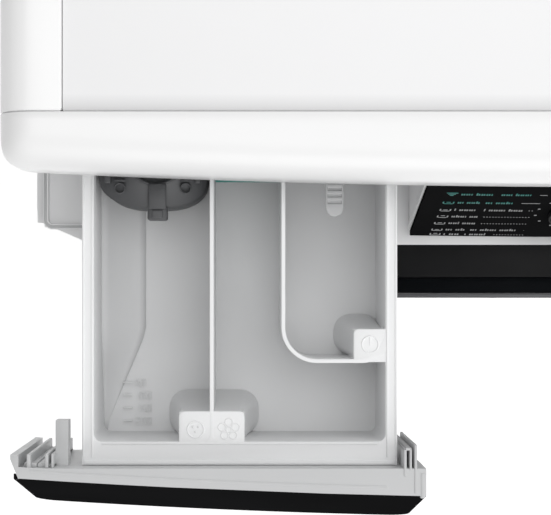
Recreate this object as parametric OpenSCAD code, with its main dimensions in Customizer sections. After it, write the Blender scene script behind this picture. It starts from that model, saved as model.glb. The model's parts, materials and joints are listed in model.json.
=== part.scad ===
// Front load washing machine, built as separate pieces, with its detergent drawer pulled out.
// Millimetres. X runs to the right, Y to the back and Z up. The origin is on the floor, under
// the middle of the machine and its open drawer. Lengths called "v" below run backwards from
// the middle of the worktop's front edge, which sits at Y = front_y.

/* [Cabinet] */
// Width over the side panels
body_w = 600; // [560:1:640]
// Height from the floor to the worktop's top
body_h = 850; // [820:1:900]
// Depth of the worktop, front edge to back edge
top_depth = 545; // [520:1:660]
// Height of the worktop's moulded edge
top_h = 36; // [28:1:40]
// Width of the moulded strip along each side of the worktop
side_strip_w = 31.5; // [20:0.5:40]
// Depth of the moulded strip along the front of the worktop
front_strip_d = 33.2; // [28:0.1:45]
// How far the worktop's front edge is set back in the middle
top_front_v = 1.5; // [0:0.1:4]
// Thickness of the steel sheet
sheet_t = 1.5; // [1:0.1:2]
// How far the back panel is set in from the worktop's back edge
rear_inset = 25; // [18:1:40]
// Height of the plinth strip's top above the floor
plinth_h = 95; // [88:1:110]

/* [Front shape] */
// Radius of the bow that the lens and drawer front follow, seen from above
bow_r = 4500; // [3500:50:9000]
// Radius of the worktop's flatter bow
top_bow_r = 5800; // [4500:50:9000]
// Height of the leaning control lens
lens_h = 88; // [80:1:100]
// How far the lens's foot stands ahead of its head
lens_lean = 23; // [16:1:28]
// Thickness of the control lens
lens_t = 3; // [2:0.5:4]
// Set-back of the lens's head behind the worktop's front edge
lens_top_v = 3.2; // [2:0.1:6]

/* [Drawer] */
// How far the drawer stands open as stored
drawer_out = 157; // [120:1:170]
// Outer width of the drawer's tray
tray_w = 160.5; // [140:0.5:175]
// Length of the tray
tray_l = 235; // [225:1:250]
// Height of the tray
tray_h = 58; // [48:1:62]
// Gap from the middle of the machine to the tray's right side
tray_x = 104.5; // [104:0.5:112]
// Distance of the parting line between drawer front and lens from the middle
parting_x = 90.5; // [88:0.5:98]
// Thickness of the tray's walls
tray_wall = 2.5; // [2:0.1:3]

/* [Door] */
// Outer radius of the door
door_r = 222; // [205:1:225]
// Height of the door's centre above the floor
door_z = 465; // [450:1:470]
// How far the door's trim stands ahead of the worktop's front edge
door_proud = 54; // [50:1:62]
// Radius of the glass bowl at its mouth
bowl_r = 150; // [140:1:152]
// Depth of the glass bowl behind the front panel
bowl_depth = 78; // [60:1:90]

/* [Tub and drum] */
// Outer radius of the tub
tub_r = 262; // [245:1:264]
// Length of the tub
tub_l = 355; // [340:1:440]
// Radius of the drum
drum_r = 240; // [225:1:242]
// Radius of the drum's pulley
pulley_r = 140; // [120:1:160]
// Radius of the motor's pulley
motor_pulley_r = 11; // [9:0.5:14]
// Radius of the motor's body
motor_r = 60; // [50:1:62]

/* [Fits] */
// Gap between a turning or sliding shaft and its hole
run_fit = 0.05; // [0.02:0.01:0.09]
// Gap between covers that lie next to each other
cover_gap = 0.3; // [0.3:0.1:0.6]

/* [Hidden] */
$fn = 96;
eps = 0.01;

half_w = body_w / 2;
top_z = body_h - top_h;              // underside of the worktop
lens_head_z = top_z - 6;
lens_foot_z = lens_head_z - lens_h;
lens_foot_v = lens_top_v - lens_lean;
lean = atan(lens_lean / lens_h);     // tilt of the lens away from upright
shelf_z = lens_foot_z - 2;           // top of the fascia's shelf, under the drawer front
lip_z = shelf_z - 6;                 // underside of the fascia
fascia_back_v = 30;

function bow(x, r = bow_r) = r - sqrt(r * r - x * x);
seam_v = top_front_v + front_strip_d;               // between the board and its front strip
reach = drawer_out - lens_foot_v - bow(parting_x);   // the open drawer, ahead of the worktop
front_y = (reach - top_depth) / 2;

panel_v = -6;                        // outer face of the front panel
rear_v = top_depth - rear_inset;     // outer face of the back panel
base_z = 22;                         // underside of the base
foot_x = half_w - 45;

tray_left = -tray_x - tray_w;
tray_shut_v = 18.3;                  // v of the tray's front when shut
tray_front = tray_shut_v - drawer_out;
tray_rim_z = lens_head_z - 13;
tray_floor_z = tray_rim_z - tray_h;
rim_w = 6;
shelf_d = 12;                        // depth of the tray's front shelf
house_gap = 2.5;                     // between the tray and its housing
house_v = [fascia_back_v + bow(half_w) + cover_gap, tray_shut_v + tray_l + 7.7];

tub_v = 45;                          // front wall of the tub
tub_end = tub_v + tub_l;
tub_split = tub_v + 145;
tub_wall = 6;
drum_v = [tub_v + 17, tub_end - 52];
mouth_r = 172;                       // radius of the tub's mouth
panel_hole_r = 178;
drum_mouth_r = 160;
pulley_v = tub_end + 32;
pulley_w = 18;
motor_z = door_z - tub_r - motor_r - 12;
damper_x = 170;
damper_v = 230;
spring_x = 225;
spring_v = 305;

hinge_x = -door_r - 14;
hinge_v = -door_proud + 20;
hinge_reach = 60;                    // height of the knuckles from the door's centre
latch_x = 203;
latch_v = -17;
handle_x = 187;
handle_v = -door_proud + 9;
frame_back_v = panel_v - 4;

filter_x = 210;
filter_z = 62;
knob_z = 765 - 850 + body_h;

// ---- helpers -------------------------------------------------------------------------------

module at_front() { translate([0, front_y, 0]) children(); }

// A box given by its two corners, in X, v and Z
module block(lo, hi) { translate(lo) cube(hi - lo); }

// A round bar along Y
module bar_y(r, v0, v1, x = 0, z = 0) {
    translate([x, v0, z]) rotate([-90, 0, 0]) cylinder(r = r, h = v1 - v0);
}

// A round bar along X
module bar_x(r, x0, x1, v = 0, z = 0) {
    translate([x0, v, z]) rotate([0, 90, 0]) cylinder(r = r, h = x1 - x0);
}

// A round bar along Z
module bar_z(r, z0, z1, x = 0, v = 0) { translate([x, v, z0]) cylinder(r = r, h = z1 - z0); }

// A profile of [r, v] turned about the door's and drum's axis
module turned(x = 0, z = door_z) {
    translate([x, 0, z]) rotate([-90, 0, 0]) rotate_extrude($fn = 128) children();
}

// A ring about that axis
module ring(r0, r1, v0, v1) { turned() translate([r0, v0]) square([r1 - r0, v1 - v0]); }

// A side profile of [v, z] that follows the front's bow from x0 to x1
module bowed(x0, x1, r = bow_r) {
    swing = 5;
    intersection() {
        translate([0, r, 0]) rotate([0, 0, -90 - swing])
            rotate_extrude(angle = 2 * swing, $fn = 1080)
                translate([r, 0]) mirror([1, 0]) children();
        block([x0, -200, -10], [x1, 200, 1000]);
    }
}

// Places a control on the lens, with Z pointing out of the lens
module on_lens(x, z) {
    out = (lens_head_z - z) / lens_h * lens_lean;
    translate([x, lens_top_v - out + bow(x), z]) rotate([90 - lean, 0, 0]) children();
}

module rounded_plate(w, h, t, r) {
    linear_extrude(t) difference() {
        square([w, h], center = true);
        for (sx = [-1, 1], sy = [-1, 1])
            translate([sx * w / 2, sy * h / 2]) difference() {
                square(2 * r, center = true);
                translate([-sx * r, -sy * r]) circle(r);
            }
    }
}

// ---- worktop -------------------------------------------------------------------------------

edge_r = min(18, top_h / 2);

module edge_profile(d) {
    translate([edge_r, top_z]) square([d - edge_r, top_h]);
    translate([0, top_z]) square([edge_r, top_h - edge_r]);
    intersection() {
        translate([edge_r, body_h - edge_r]) circle(edge_r);
        translate([0, top_z]) square([edge_r, top_h]);
    }
}

module worktop_board() color([0.97, 0.97, 0.97]) at_front() {
    block([-half_w + side_strip_w + cover_gap, top_depth - 14, top_z],
          [half_w - side_strip_w - cover_gap, top_depth, body_h - 1.8]);
    block([-half_w + side_strip_w + cover_gap, seam_v + cover_gap, body_h - 17],
          [half_w - side_strip_w - cover_gap, top_depth, body_h - 1.2]);
}

// The moulded edge of one side, run back from v0
module side_edge(s, d, v0) {
    translate([s * half_w, top_depth, 0]) rotate([90, 0, 0]) linear_extrude(top_depth - v0)
        mirror([s > 0 ? 1 : 0, 0]) edge_profile(d);
}

top_corner_r = 10;

module worktop_front_trim() color([0.97, 0.97, 0.97]) at_front() {
    corner_v = top_front_v + bow(half_w, top_bow_r);
    intersection() {
        bowed(-half_w, half_w, top_bow_r) translate([top_front_v, 0]) edge_profile(front_strip_d);
        union() for (s = [-1, 1]) side_edge(s, half_w + 1, -10);
        translate([0, 0, top_z - 1]) linear_extrude(top_h + 2) difference() {
            translate([-half_w, -10]) square([body_w, seam_v + 10]);
            for (s = [-1, 1]) translate([s * half_w, corner_v]) difference() {
                square(2 * top_corner_r, center = true);
                translate([-s * top_corner_r, top_corner_r]) circle(top_corner_r);
            }
        }
    }
}

module worktop_side_trims() color([0.97, 0.97, 0.97]) at_front()
    for (s = [-1, 1]) side_edge(s, side_strip_w, seam_v + cover_gap);

// ---- cabinet -------------------------------------------------------------------------------

module side_panels() color([0.95, 0.95, 0.95]) at_front() for (s = [-1, 1]) scale([s, 1, 1]) {
    inner = half_w - sheet_t;
    difference() {
        block([inner, panel_v + sheet_t + 0.2, base_z], [half_w, rear_v - 2, top_z - 1]);
        block([inner - 1, -20, lip_z - 1], [half_w + 1, 44, top_z + 1]);
    }
    block([half_w - 14, panel_v + sheet_t + 0.2, plinth_h], [inner, panel_v + 2 * sheet_t + 0.2, lip_z - 2]);
    block([half_w - 14, rear_v - 2 - sheet_t, base_z + 42], [inner, rear_v - 2, top_z - 14]);
}

module front_panel() color([0.95, 0.95, 0.95]) at_front() {
    difference() {
        block([-half_w + 2, panel_v, plinth_h], [half_w - 2, panel_v + sheet_t, lip_z - 1]);
        bar_y(panel_hole_r, -20, 20, 0, door_z);
        block([latch_x - 10, -20, door_z - 22], [latch_x + 12, 20, door_z + 22]);
    }
    ring(panel_hole_r, panel_hole_r + sheet_t, panel_v, 7);
}

bolt_x = 130;
bolt_z = [250, 640];

module rear_panel() color([0.93, 0.93, 0.93]) at_front() difference() {
    block([-half_w + 4, rear_v - sheet_t, 62], [half_w - 4, rear_v, top_z - 1]);
    bar_y(170, 400, 700, 0, door_z - 30);
    for (x = [-bolt_x, bolt_x], z = bolt_z) bar_y(14, 400, 700, x, z);
    bar_y(14, 400, 700, -185, top_z - 40);
    bar_y(13.2, 400, 700, half_w - 30, top_z - 54);
    bar_y(10, 400, 700, 110, top_z - 30);
}

module rear_cover() color([0.9, 0.9, 0.9]) at_front() turned(0, door_z - 30)
    polygon([[0, rear_v + 7], [140, rear_v + 7], [160, rear_v + 0.2], [182, rear_v + 0.2],
             [182, rear_v + 2.2], [161, rear_v + 2.2], [141, rear_v + 9], [0, rear_v + 9]]);

module base_tray() color([0.25, 0.25, 0.27]) at_front() {
    difference() {
        block([-half_w + 3, 2, base_z], [half_w - 3, rear_v - 4, base_z + 40]);
        block([-half_w + 7, 6, base_z + 4], [half_w - 7, rear_v - 8, base_z + 41]);
        block([filter_x - 60, -1, base_z + 4], [filter_x + 50, 7, base_z + 41]);
        for (x = [-foot_x, foot_x], v = [32, rear_v - 40]) bar_z(5 + run_fit, 0, 99, x, v);
    }
    for (x = [-foot_x, foot_x], v = [32, rear_v - 40]) difference() {
        bar_z(13, base_z + 4 - eps, base_z + 14, x, v);
        bar_z(5 + run_fit, 0, 99, x, v);
    }
}

module plinth_panel() color([0.95, 0.95, 0.95]) at_front() difference() {
    block([-half_w + 2, panel_v + 2, base_z + 2], [half_w - 2, panel_v + 4, plinth_h - 1]);
    block([filter_x - 56, -20, base_z + 13], [filter_x + 46, 20, plinth_h - 6]);
}

module top_brace() color([0.75, 0.76, 0.78]) at_front() difference() {
    block([-half_w + 3, 288, top_z - 14], [half_w - 3, 322, top_z - 2]);
    block([-half_w + 10, 291, top_z - 12], [half_w - 10, 319, top_z]);
}

// ---- fascia --------------------------------------------------------------------------------

fascia_profile = [
    [lens_foot_v - 1.5, lip_z], [fascia_back_v, lip_z], [fascia_back_v, top_z - 2],
    [lens_top_v + 4, top_z - 2], [lens_top_v + 4, top_z - 5], [fascia_back_v - 3, top_z - 5],
    [fascia_back_v - 3, shelf_z], [lens_foot_v - 1.5, shelf_z - 2]
];

// The leaning wall behind the lens
module backing_profile(from, to) {
    polygon([[lens_foot_v + from, lens_foot_z], [lens_foot_v + to, lens_foot_z],
             [lens_top_v + to, lens_head_z], [lens_top_v + from, lens_head_z]]);
}

module fascia_housing() color([0.9, 0.9, 0.9]) at_front() {
    difference() {
        union() {
            bowed(-half_w + 1, half_w) polygon(fascia_profile);
            bowed(-parting_x, half_w - 1) backing_profile(lens_t + 0.2, lens_t + 2.7);
            bowed(-parting_x + 0.8, -parting_x + 3.3)
                polygon([[lens_foot_v + 6, shelf_z - 1], [fascia_back_v - 1, shelf_z - 1],
                         [fascia_back_v - 1, top_z - 4], [lens_top_v + 6, top_z - 4]]);
            bowed(half_w - 3, half_w)
                polygon([[lens_foot_v - 1, shelf_z - 1], [fascia_back_v - 1, shelf_z - 1],
                         [fascia_back_v - 1, top_z - 2], [lens_top_v - 0.5, top_z - 2]]);
        }
        block([tray_left - house_gap, -60, tray_floor_z - house_gap],
              [-tray_x + house_gap, 60, tray_rim_z + house_gap]);
        block([tray_left - 15, 0, tray_rim_z - 12], [tray_left - 5.5, 60, tray_rim_z + 2]);
        on_lens(0, knob_z) translate([0, 0, -50]) cylinder(r = 4.5, h = 60);
        for (x = button_x) on_lens(x, button_z) translate([0, 0, -30]) cylinder(r = 5, h = 40);
    }
    // the raised rim round the recess that the drawer front closes into
    difference() {
        translate([0, 0, shelf_z - 4]) linear_extrude(5.4) recess_outline(0);
        translate([0, 0, shelf_z - 1]) linear_extrude(9) recess_outline(rim_w / 2);
    }
    translate([0, 0, lip_z]) linear_extrude(shelf_z - lip_z - 2) lip_outline();
}

// The recess in plan, its rim set in by "inset"
module recess_outline(inset) pocket(-half_w + 4.5 + inset, lens_foot_v + 4.5 + inset,
                                    tray_left - 4 - inset, fascia_back_v - inset, 5.5 - inset);

// The lip under the lens in plan, flatter than the lens and cut back at its ends
module lip_outline() polygon([
    for (s = [-1, 1], p = s < 0 ? lip_points : [for (i = [4 : -1 : 0]) lip_points[i]]) [-s * p[0], p[1]]
]);
lip_points = [
    [half_w - 5, 5], [half_w - 5, lens_foot_v + 6], [half_w - 11, lens_foot_v + 5],
    [half_w - 26, lens_foot_v - 1.5], [half_w - 130, lens_foot_v - 4]
];

button_x = [62, 200, 250];
button_z = knob_z - 22;
button_r = 7;
display_x = 150;

module lens_cut(x0, x1) bowed(x0, x1) backing_profile(0, lens_t);

module fascia_lens() color([0.03, 0.03, 0.035]) at_front() difference() {
    lens_cut(-parting_x + 0.8, half_w - 3.3);
    on_lens(0, knob_z) translate([0, 0, -10]) cylinder(r = 5, h = 20);
    for (x = button_x) on_lens(x, button_z)
        translate([0, 0, -10]) cylinder(r = button_r + 0.4, h = 20);
    on_lens(display_x, knob_z + 14) translate([0, 0, -1.2]) rounded_plate(112, 34, 20, 5);
}

module display_window() color([0.1, 0.12, 0.14]) at_front()
    on_lens(display_x, knob_z + 14) translate([0, 0, -1.1]) rounded_plate(111.4, 33.4, 1, 4.8);

module control_board() color([0.1, 0.35, 0.2]) at_front() {
    block([-30, fascia_back_v - 9, knob_z - 30], [half_w - 45, fascia_back_v - 7.4, knob_z + 28]);
    block([display_x - 40, fascia_back_v - 12, knob_z], [display_x + 40, fascia_back_v - 9, knob_z + 24]);
}

knob_r = 21;

module program_knob() color([0.12, 0.12, 0.13]) at_front() on_lens(0, knob_z) {
    translate([0, 0, 0.6]) cylinder(r = knob_r, h = 3);
    translate([0, 0, 3.6]) cylinder(r1 = knob_r - 1, r2 = knob_r - 3, h = 14);
    translate([0, 0, -9]) cylinder(r = 4.4, h = 10);
}

module button(i, r) color([0.16, 0.16, 0.17]) at_front() on_lens(button_x[i], button_z) {
    translate([0, 0, 2.1 - lens_t]) cylinder(r = r, h = lens_t - 0.7);
    translate([0, 0, -12]) cylinder(r = 4.4, h = 12);
}
module option_button() button(0, button_r);
module power_button() button(1, button_r);
module start_button() button(2, button_r);

// ---- drawer housing and water inlet --------------------------------------------------------

module dispenser_housing() color([0.85, 0.86, 0.87]) at_front() difference() {
    union() {
        block([tray_left - house_gap - 2.5, house_v[0], tray_floor_z - house_gap - 2.5],
              [-tray_x + house_gap + 2.5, house_v[1] + 2.5, tray_rim_z + 6]);
        bar_z(18, tray_floor_z - 14, tray_floor_z - 4, -tray_x - tray_w / 2, 190);
    }
    block([tray_left - house_gap, 0, tray_floor_z - house_gap],
          [-tray_x + house_gap, house_v[1], tray_rim_z + 3.5]);
    bar_z(15, 0, tray_floor_z, -tray_x - tray_w / 2, 190);
}

inlet_z = top_z - 40;
thread_r = 13.2;                     // outside of a 3/4 inch pipe thread
thread_l = 14;

module inlet_valve() color([0.9, 0.9, 0.92]) at_front() difference() {
    union() {
        block([-207, rear_v - 70, inlet_z - 20], [-163, rear_v - 8, inlet_z + 18]);
        bar_y(11.5, rear_v - 9, rear_v + 5, -185, inlet_z);
        bar_y(thread_r, rear_v + 4, rear_v + 4 + thread_l, -185, inlet_z);
        bar_y(17, rear_v - 8, rear_v - sheet_t - 0.2, -185, inlet_z);
    }
    bar_y(9, rear_v - 5, rear_v + 30, -185, inlet_z);
}

// A tube swept along a list of [x, v, z] points whose corners are cut round three times
function cut_corners(p, times) = times == 0 ? p : cut_corners([
    p[0],
    for (i = [0 : len(p) - 2]) each [p[i] * 0.75 + p[i + 1] * 0.25, p[i] * 0.25 + p[i + 1] * 0.75],
    p[len(p) - 1]
], times - 1);
function unit(a) = a / norm(a);
function heading(p, i) = unit(p[min(i + 1, len(p) - 1)] - p[max(i - 1, 0)]);

module hose(points, r, sides = 12) {
    p = cut_corners(points, 3);
    rings = [for (i = [0 : len(p) - 1])
        let (t = heading(p, i), a = unit(cross(t, [1, 0.3, 0])), b = cross(t, a))
            [for (j = [0 : sides - 1]) p[i] + r * (cos(360 * j / sides) * a + sin(360 * j / sides) * b)]];
    last = (len(p) - 1) * sides;
    polyhedron(
        points = [for (each_ring = rings) each each_ring],
        faces = concat(
            [[for (j = [0 : sides - 1]) j]],
            [[for (j = [sides - 1 : -1 : 0]) last + j]],
            [for (i = [0 : len(p) - 2], j = [0 : sides - 1]) let (k = (j + 1) % sides)
                [i * sides + j, (i + 1) * sides + j, (i + 1) * sides + k, i * sides + k]]
        )
    );
}

drain_route = [
    [filter_x, 134.2, filter_z + 20], [filter_x, 172, filter_z + 20], [half_w - 26, 230, 90],
    [half_w - 26, rear_v - 140, 95],
    [half_w - 28, rear_v - 62, 150], [half_w - 30, rear_v - 62, top_z - 54],
    [half_w - 30, rear_v + 16, top_z - 54]
];

module cabinet_hoses() color([0.3, 0.3, 0.32]) at_front() {
    bar_y(8, house_v[1] + 2.7, rear_v - 70.2, -185, inlet_z + 8);
    hose(drain_route, 10);
}

module drain_pump() color([0.55, 0.57, 0.6]) at_front() difference() {
    union() {
        bar_y(34, 3, 70, filter_x, filter_z + 2);
        bar_y(31, 70, 128, filter_x, filter_z + 2);
        block([98, 78, 34], [filter_x, 122, 68]);
        bar_y(14, 126, 134, filter_x, filter_z + 20);
    }
    bar_y(27, 0, 60, filter_x, filter_z + 2);
}

module filter_cap() color([0.2, 0.2, 0.22]) at_front() {
    difference() {
        bar_y(27 - run_fit, 6, 50, filter_x, filter_z + 2);
        bar_y(22, 12, 60, filter_x, filter_z + 2);
    }
    block([filter_x - 20, 0, filter_z - 2], [filter_x + 20, 7, filter_z + 6]);
}

flap_z = base_z + 15;

module filter_flap() color([0.94, 0.94, 0.94]) at_front() {
    block([filter_x - 55, panel_v, flap_z], [filter_x + 45, panel_v + 2, plinth_h - 6.5]);
    bar_x(1.6, filter_x - 55, filter_x + 45, panel_v + 1, flap_z);
}

// ---- feet ---------------------------------------------------------------------------------

module foot(x, v) {
    bar_z(22, 0, 4, x, v);
    translate([x, v, 4 - eps]) cylinder(r1 = 22, r2 = 9, h = 8);
    bar_z(5, 8, 48, x, v);
}

module foot_left() color([0.2, 0.2, 0.2]) at_front() foot(-foot_x, 32);
module foot_right() color([0.2, 0.2, 0.2]) at_front() foot(foot_x, 32);
module rear_feet() color([0.2, 0.2, 0.2]) at_front() for (x = [-foot_x, foot_x]) {
    foot(x, rear_v - 40);
    bar_z(9, 12 - eps, base_z - eps, x, rear_v - 40);
}

// ---- drawer --------------------------------------------------------------------------------

// The tray's compartments, measured from its left side and its front
wash_w = 59;
divider_t = 2;
prewash_x = 101.5;                   // left side of the prewash wall
prewash_front = 52;                  // from the tray's front
front_r = 4;                         // corner radius in plan
prewash_r = 18;

module pocket(x0, y0, x1, y1, r = 4) {
    difference() {
        translate([x0, y0]) square([x1 - x0, y1 - y0]);
        for (c = [[x0, y0, 1, 1], [x1, y0, -1, 1]])
            translate([c[0], c[1]]) difference() {
                translate([-r, -r]) square(2 * r);
                translate([c[2] * r, c[3] * r]) circle(r);
            }
    }
}

module drawer_tray() color([0.9, 0.91, 0.92]) at_front() translate([tray_left, tray_front, tray_floor_z]) {
    inner_x = rim_w;
    inner_y = shelf_d;
    difference() {
        cube([tray_w, tray_l, tray_h]);
        // the three compartments
        translate([0, 0, tray_wall]) linear_extrude(tray_h) {
            pocket(inner_x, inner_y, inner_x + wash_w, tray_l - tray_wall, front_r);
            difference() {
                pocket(inner_x + wash_w + divider_t, inner_y, tray_w - rim_w, tray_l - tray_wall, front_r);
                pocket(prewash_x, prewash_front, tray_w, tray_l, prewash_r);
            }
            pocket(prewash_x + divider_t, prewash_front + divider_t, tray_w - rim_w,
                   tray_l - tray_wall, prewash_r - divider_t);
        }
        // the space under the rims, outside the thin walls
        for (x = [-1, tray_w - rim_w + tray_wall])
            translate([x, -1, -1]) cube([rim_w - tray_wall + 1, tray_l + 2, tray_h - 2]);
        translate([-1, -1, -1]) cube([tray_w + 2, shelf_d - tray_wall + 1, tray_h - 2]);
        // the drain at the back of the wash compartment
        translate([inner_x + 8, tray_l - 20, -1]) cube([wash_w - 16, 12, tray_wall + 2]);
    }
    // raised tabs where the marks stand, each on its own pillar
    tab_x = inner_x + wash_w - 15.5;
    translate([tab_x, inner_y - eps, tray_wall - eps]) cube([33, 15, tray_h - tray_wall - 0.6]);
    translate([tray_w - rim_w - 16, prewash_front + divider_t - eps, tray_wall - eps])
        cube([16 + eps, 15, tray_h - tray_wall - 0.6]);
}

insert_z = tray_rim_z - 7;

module liquid_insert() color([0.34, 0.34, 0.36]) at_front()
    translate([tray_left + rim_w, tray_front, 0]) difference() {
        union() {
            block([0.6, 132, tray_floor_z + 8], [wash_w - 0.6, 200, insert_z]);
            block([wash_w / 2 - 5, 125, insert_z - 3], [wash_w / 2 + 5, 133, insert_z]);
        }
        block([3, 135, tray_floor_z + 7], [wash_w - 3, 197, insert_z - 2]);
    }

module siphon_cap() color([0.15, 0.5, 0.47]) at_front()
    translate([tray_left + rim_w + wash_w + divider_t, tray_front, 0]) {
        block([0.6, 143, tray_rim_z - 9],
              [prewash_x - rim_w - wash_w - divider_t - 0.6, 205, tray_rim_z - 5]);
        bar_z(6, tray_floor_z + 4, tray_rim_z - 8, 16, 180);
    }

tongue_x = tray_w - 31;

module release_tongue() color([0.8, 0.81, 0.82]) at_front()
    translate([tray_left + tongue_x - 4.6, tray_front, tray_rim_z - 16]) difference() {
        union() {
            block([0, 132, 0], [9.2, 220, 2.5]);
            block([-6, 212, 0], [15.2, 220, 5]);
            bar_z(4.6, 0, 2.5, 4.6, 132);
            bar_x(2.5, -6, 15.2, 216, 0);
        }
        for (i = [0 : 3]) block([1, 134 + 3.4 * i, 1.7], [8.2, 135.6 + 3.4 * i, 4]);
    }

front_left = -half_w + 0.5;
front_right = -parting_x - 0.8;

carrier_v = tray_shut_v - 0.2;       // back of the carrier's straight rear wall
head_t = 1.4;                        // the carrier's head, which covers the lens's upper edge

// A level plate from the leaning lens back to the carrier's rear wall
module carrier_plate(from, z, t) intersection() {
    bowed(front_left + 4, front_right) translate([from, z]) square([80, t]);
    block([front_left, -80, z - 1], [front_right, carrier_v, z + t + 1]);
}

module drawer_lens() color([0.03, 0.03, 0.035]) at_front() translate([0, -drawer_out, 0])
    intersection() {
        bowed(front_left + 4, front_right) backing_profile(0, lens_t);
        block([-half_w, -80, 0], [0, 80, lens_head_z - head_t - 0.1]);
    }

module drawer_front() color([0.88, 0.89, 0.9]) at_front() translate([0, -drawer_out, 0]) {
    bowed(front_left + 4, front_right) backing_profile(lens_t + 0.1, lens_t + 3);
    carrier_plate(lens_top_v + 0.2, lens_head_z - head_t, head_t);
    carrier_plate(lens_foot_v + lens_t + 1, lens_foot_z, 2);
    block([front_left + 4, carrier_v - 2, lens_foot_z], [front_right, carrier_v, lens_head_z]);
    // the left end, which reaches back beside the tray
    bowed(front_left, front_left + 4) polygon([
        [lens_foot_v, lens_foot_z], [carrier_v + 7 - bow(half_w), lens_foot_z],
        [carrier_v + 7 - bow(half_w), lens_head_z], [lens_top_v, lens_head_z]
    ]);
    for (x = [front_left + 20, tray_left - 2, -tray_x + 2, front_right - 3]) intersection() {
        bowed(x, x + 2) polygon([
            [lens_foot_v + lens_t + 1, lens_foot_z + 1], [80, lens_foot_z + 1],
            [80, lens_head_z - 1], [lens_top_v + lens_t + 1, lens_head_z - 1]
        ]);
        block([-half_w, -80, 0], [0, carrier_v - 1, 999]);
    }
    // the guide tab beside the tray
    block([tray_left - 13.5, carrier_v - 1, tray_rim_z - 10], [tray_left - 7, carrier_v + 23, tray_rim_z]);
}

// ---- tub and drum --------------------------------------------------------------------------

module tub_front() color([0.82, 0.83, 0.85]) at_front() difference() {
    union() {
        ring(tub_r - tub_wall, tub_r, tub_v, tub_split - 0.2);
        ring(mouth_r, tub_r, tub_v - 5, tub_v);
        ring(mouth_r, mouth_r + 4, tub_v - 15, tub_v);
        ring(tub_r - 1, tub_r + 8, tub_split - 8, tub_split - 0.2);
    }
    bar_z(13, 0, 300, 120, 100);
}

hub_r = 46;

module tub_rear() color([0.8, 0.81, 0.83]) at_front() {
    difference() {
        union() {
            ring(tub_r - tub_wall, tub_r, tub_split, tub_end);
            ring(tub_r - 1, tub_r + 8, tub_split, tub_split + 8);
            bar_y(tub_r, tub_end - 8, tub_end, 0, door_z);
            bar_y(hub_r, tub_end - 26, tub_end + 27, 0, door_z);
            for (a = [0 : 30 : 330]) translate([0, 0, door_z]) rotate([0, a, 0])
                block([hub_r - 6, tub_end - eps, -3], [tub_r - 8, tub_end + 12, 3]);
            for (s = [-1, 1])
                block([s * 204 - 34, spring_v - 12, door_z + 168],
                      [s * 204 + 34, spring_v + 12, door_z + 178]);
        }
        bar_y(tub_r - tub_wall, tub_split - 1, tub_end - 27, 0, door_z);
        bar_y(26, 300, 600, 0, door_z);
        bar_y(31, tub_end - 27, tub_end - 8, 0, door_z);
        for (s = [-1, 1]) bar_y(3.6, 300, 600, s * 35, door_z - tub_r + 16);
        ring(hub_r, tub_r - tub_wall, tub_end - 40, tub_end - 8);
    }
}

module bearings() color([0.7, 0.71, 0.73]) at_front() {
    ring(15, 31, tub_end - 24, tub_end - 8);
    ring(12.5, 26, tub_end + 10, tub_end + 25);
}

module drum_spider() color([0.6, 0.61, 0.63]) at_front() {
    difference() {
        bar_y(36, drum_v[1] + 0.2, tub_end - 28, 0, door_z);
        bar_y(12, drum_v[1] - 10, drum_v[1] + 8, 0, door_z);
    }
    for (a = [90 : 120 : 330]) translate([0, 0, door_z]) rotate([0, -a, 0])
        block([30, drum_v[1] + 0.2, -14], [drum_r - 3, drum_v[1] + 14, 14]);
    bar_y(15 - run_fit, tub_end - 29, tub_end + 2, 0, door_z);
    bar_y(12.5 - run_fit, tub_end, pulley_v + pulley_w - 1, 0, door_z);
}

module drum() color([0.78, 0.79, 0.81]) at_front() {
    ring(drum_r - 1.2, drum_r, drum_v[0], drum_v[1]);
    ring(drum_mouth_r, drum_r, drum_v[0], drum_v[0] + 1.2);
    ring(drum_mouth_r, drum_mouth_r + 3, drum_v[0] - 5, drum_v[0] + 1);
    bar_y(drum_r, drum_v[1] - 1.2, drum_v[1], 0, door_z);
}

module drum_lifters() color([0.85, 0.86, 0.88]) at_front() for (a = [30 : 120 : 270])
    translate([0, drum_v[1] - 22, door_z]) rotate([90, -a, 0]) linear_extrude(drum_v[1] - drum_v[0] - 44)
        polygon([
            [drum_r - 6, -28], [drum_r - 4, 28], [drum_r - 30, 12], [drum_r - 38, 0], [drum_r - 30, -12]
        ]);

module drum_pulley() color([0.68, 0.69, 0.7]) at_front() difference() {
    union() {
        ring(pulley_r - 10, pulley_r, pulley_v, pulley_v + pulley_w);
        bar_y(28, pulley_v, pulley_v + pulley_w, 0, door_z);
        for (a = [0 : 60 : 300]) translate([0, 0, door_z]) rotate([0, a, 0])
            block([24, pulley_v + 4, -9], [pulley_r - 8, pulley_v + 12, 9]);
    }
    bar_y(12.5 - run_fit, 300, pulley_v + pulley_w - 1, 0, door_z);
}

module motor() color([0.4, 0.41, 0.43]) at_front() difference() {
    union() {
        bar_y(motor_r, pulley_v - 130, pulley_v - 14, 0, motor_z);
        for (s = [-1, 1]) block([s * 40 - 6, pulley_v - 120, motor_z + 30],
                                [s * 40 + 6, pulley_v - 40, door_z - tub_r + 6]);
    }
    bar_y(tub_r + 0.2, 0, 700, 0, door_z);
    bar_y(8, pulley_v - 60, pulley_v, 0, motor_z);
}

module motor_pulley() color([0.6, 0.61, 0.62]) at_front() {
    bar_y(motor_pulley_r, pulley_v, pulley_v + pulley_w, 0, motor_z);
    bar_y(8 - run_fit, pulley_v - 50, pulley_v + eps, 0, motor_z);
}

belt_t = 3;

module belt_outline(grow) hull() {
    translate([0, -door_z]) circle(pulley_r + grow, $fn = 120);
    translate([0, -motor_z]) circle(motor_pulley_r + grow, $fn = 48);
}

module drive_belt() color([0.15, 0.15, 0.15]) at_front()
    translate([0, pulley_v + 3, 0]) rotate([-90, 0, 0]) linear_extrude(pulley_w - 6) difference() {
        belt_outline(cover_gap + belt_t);
        belt_outline(cover_gap + 0.1);
    }

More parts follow.
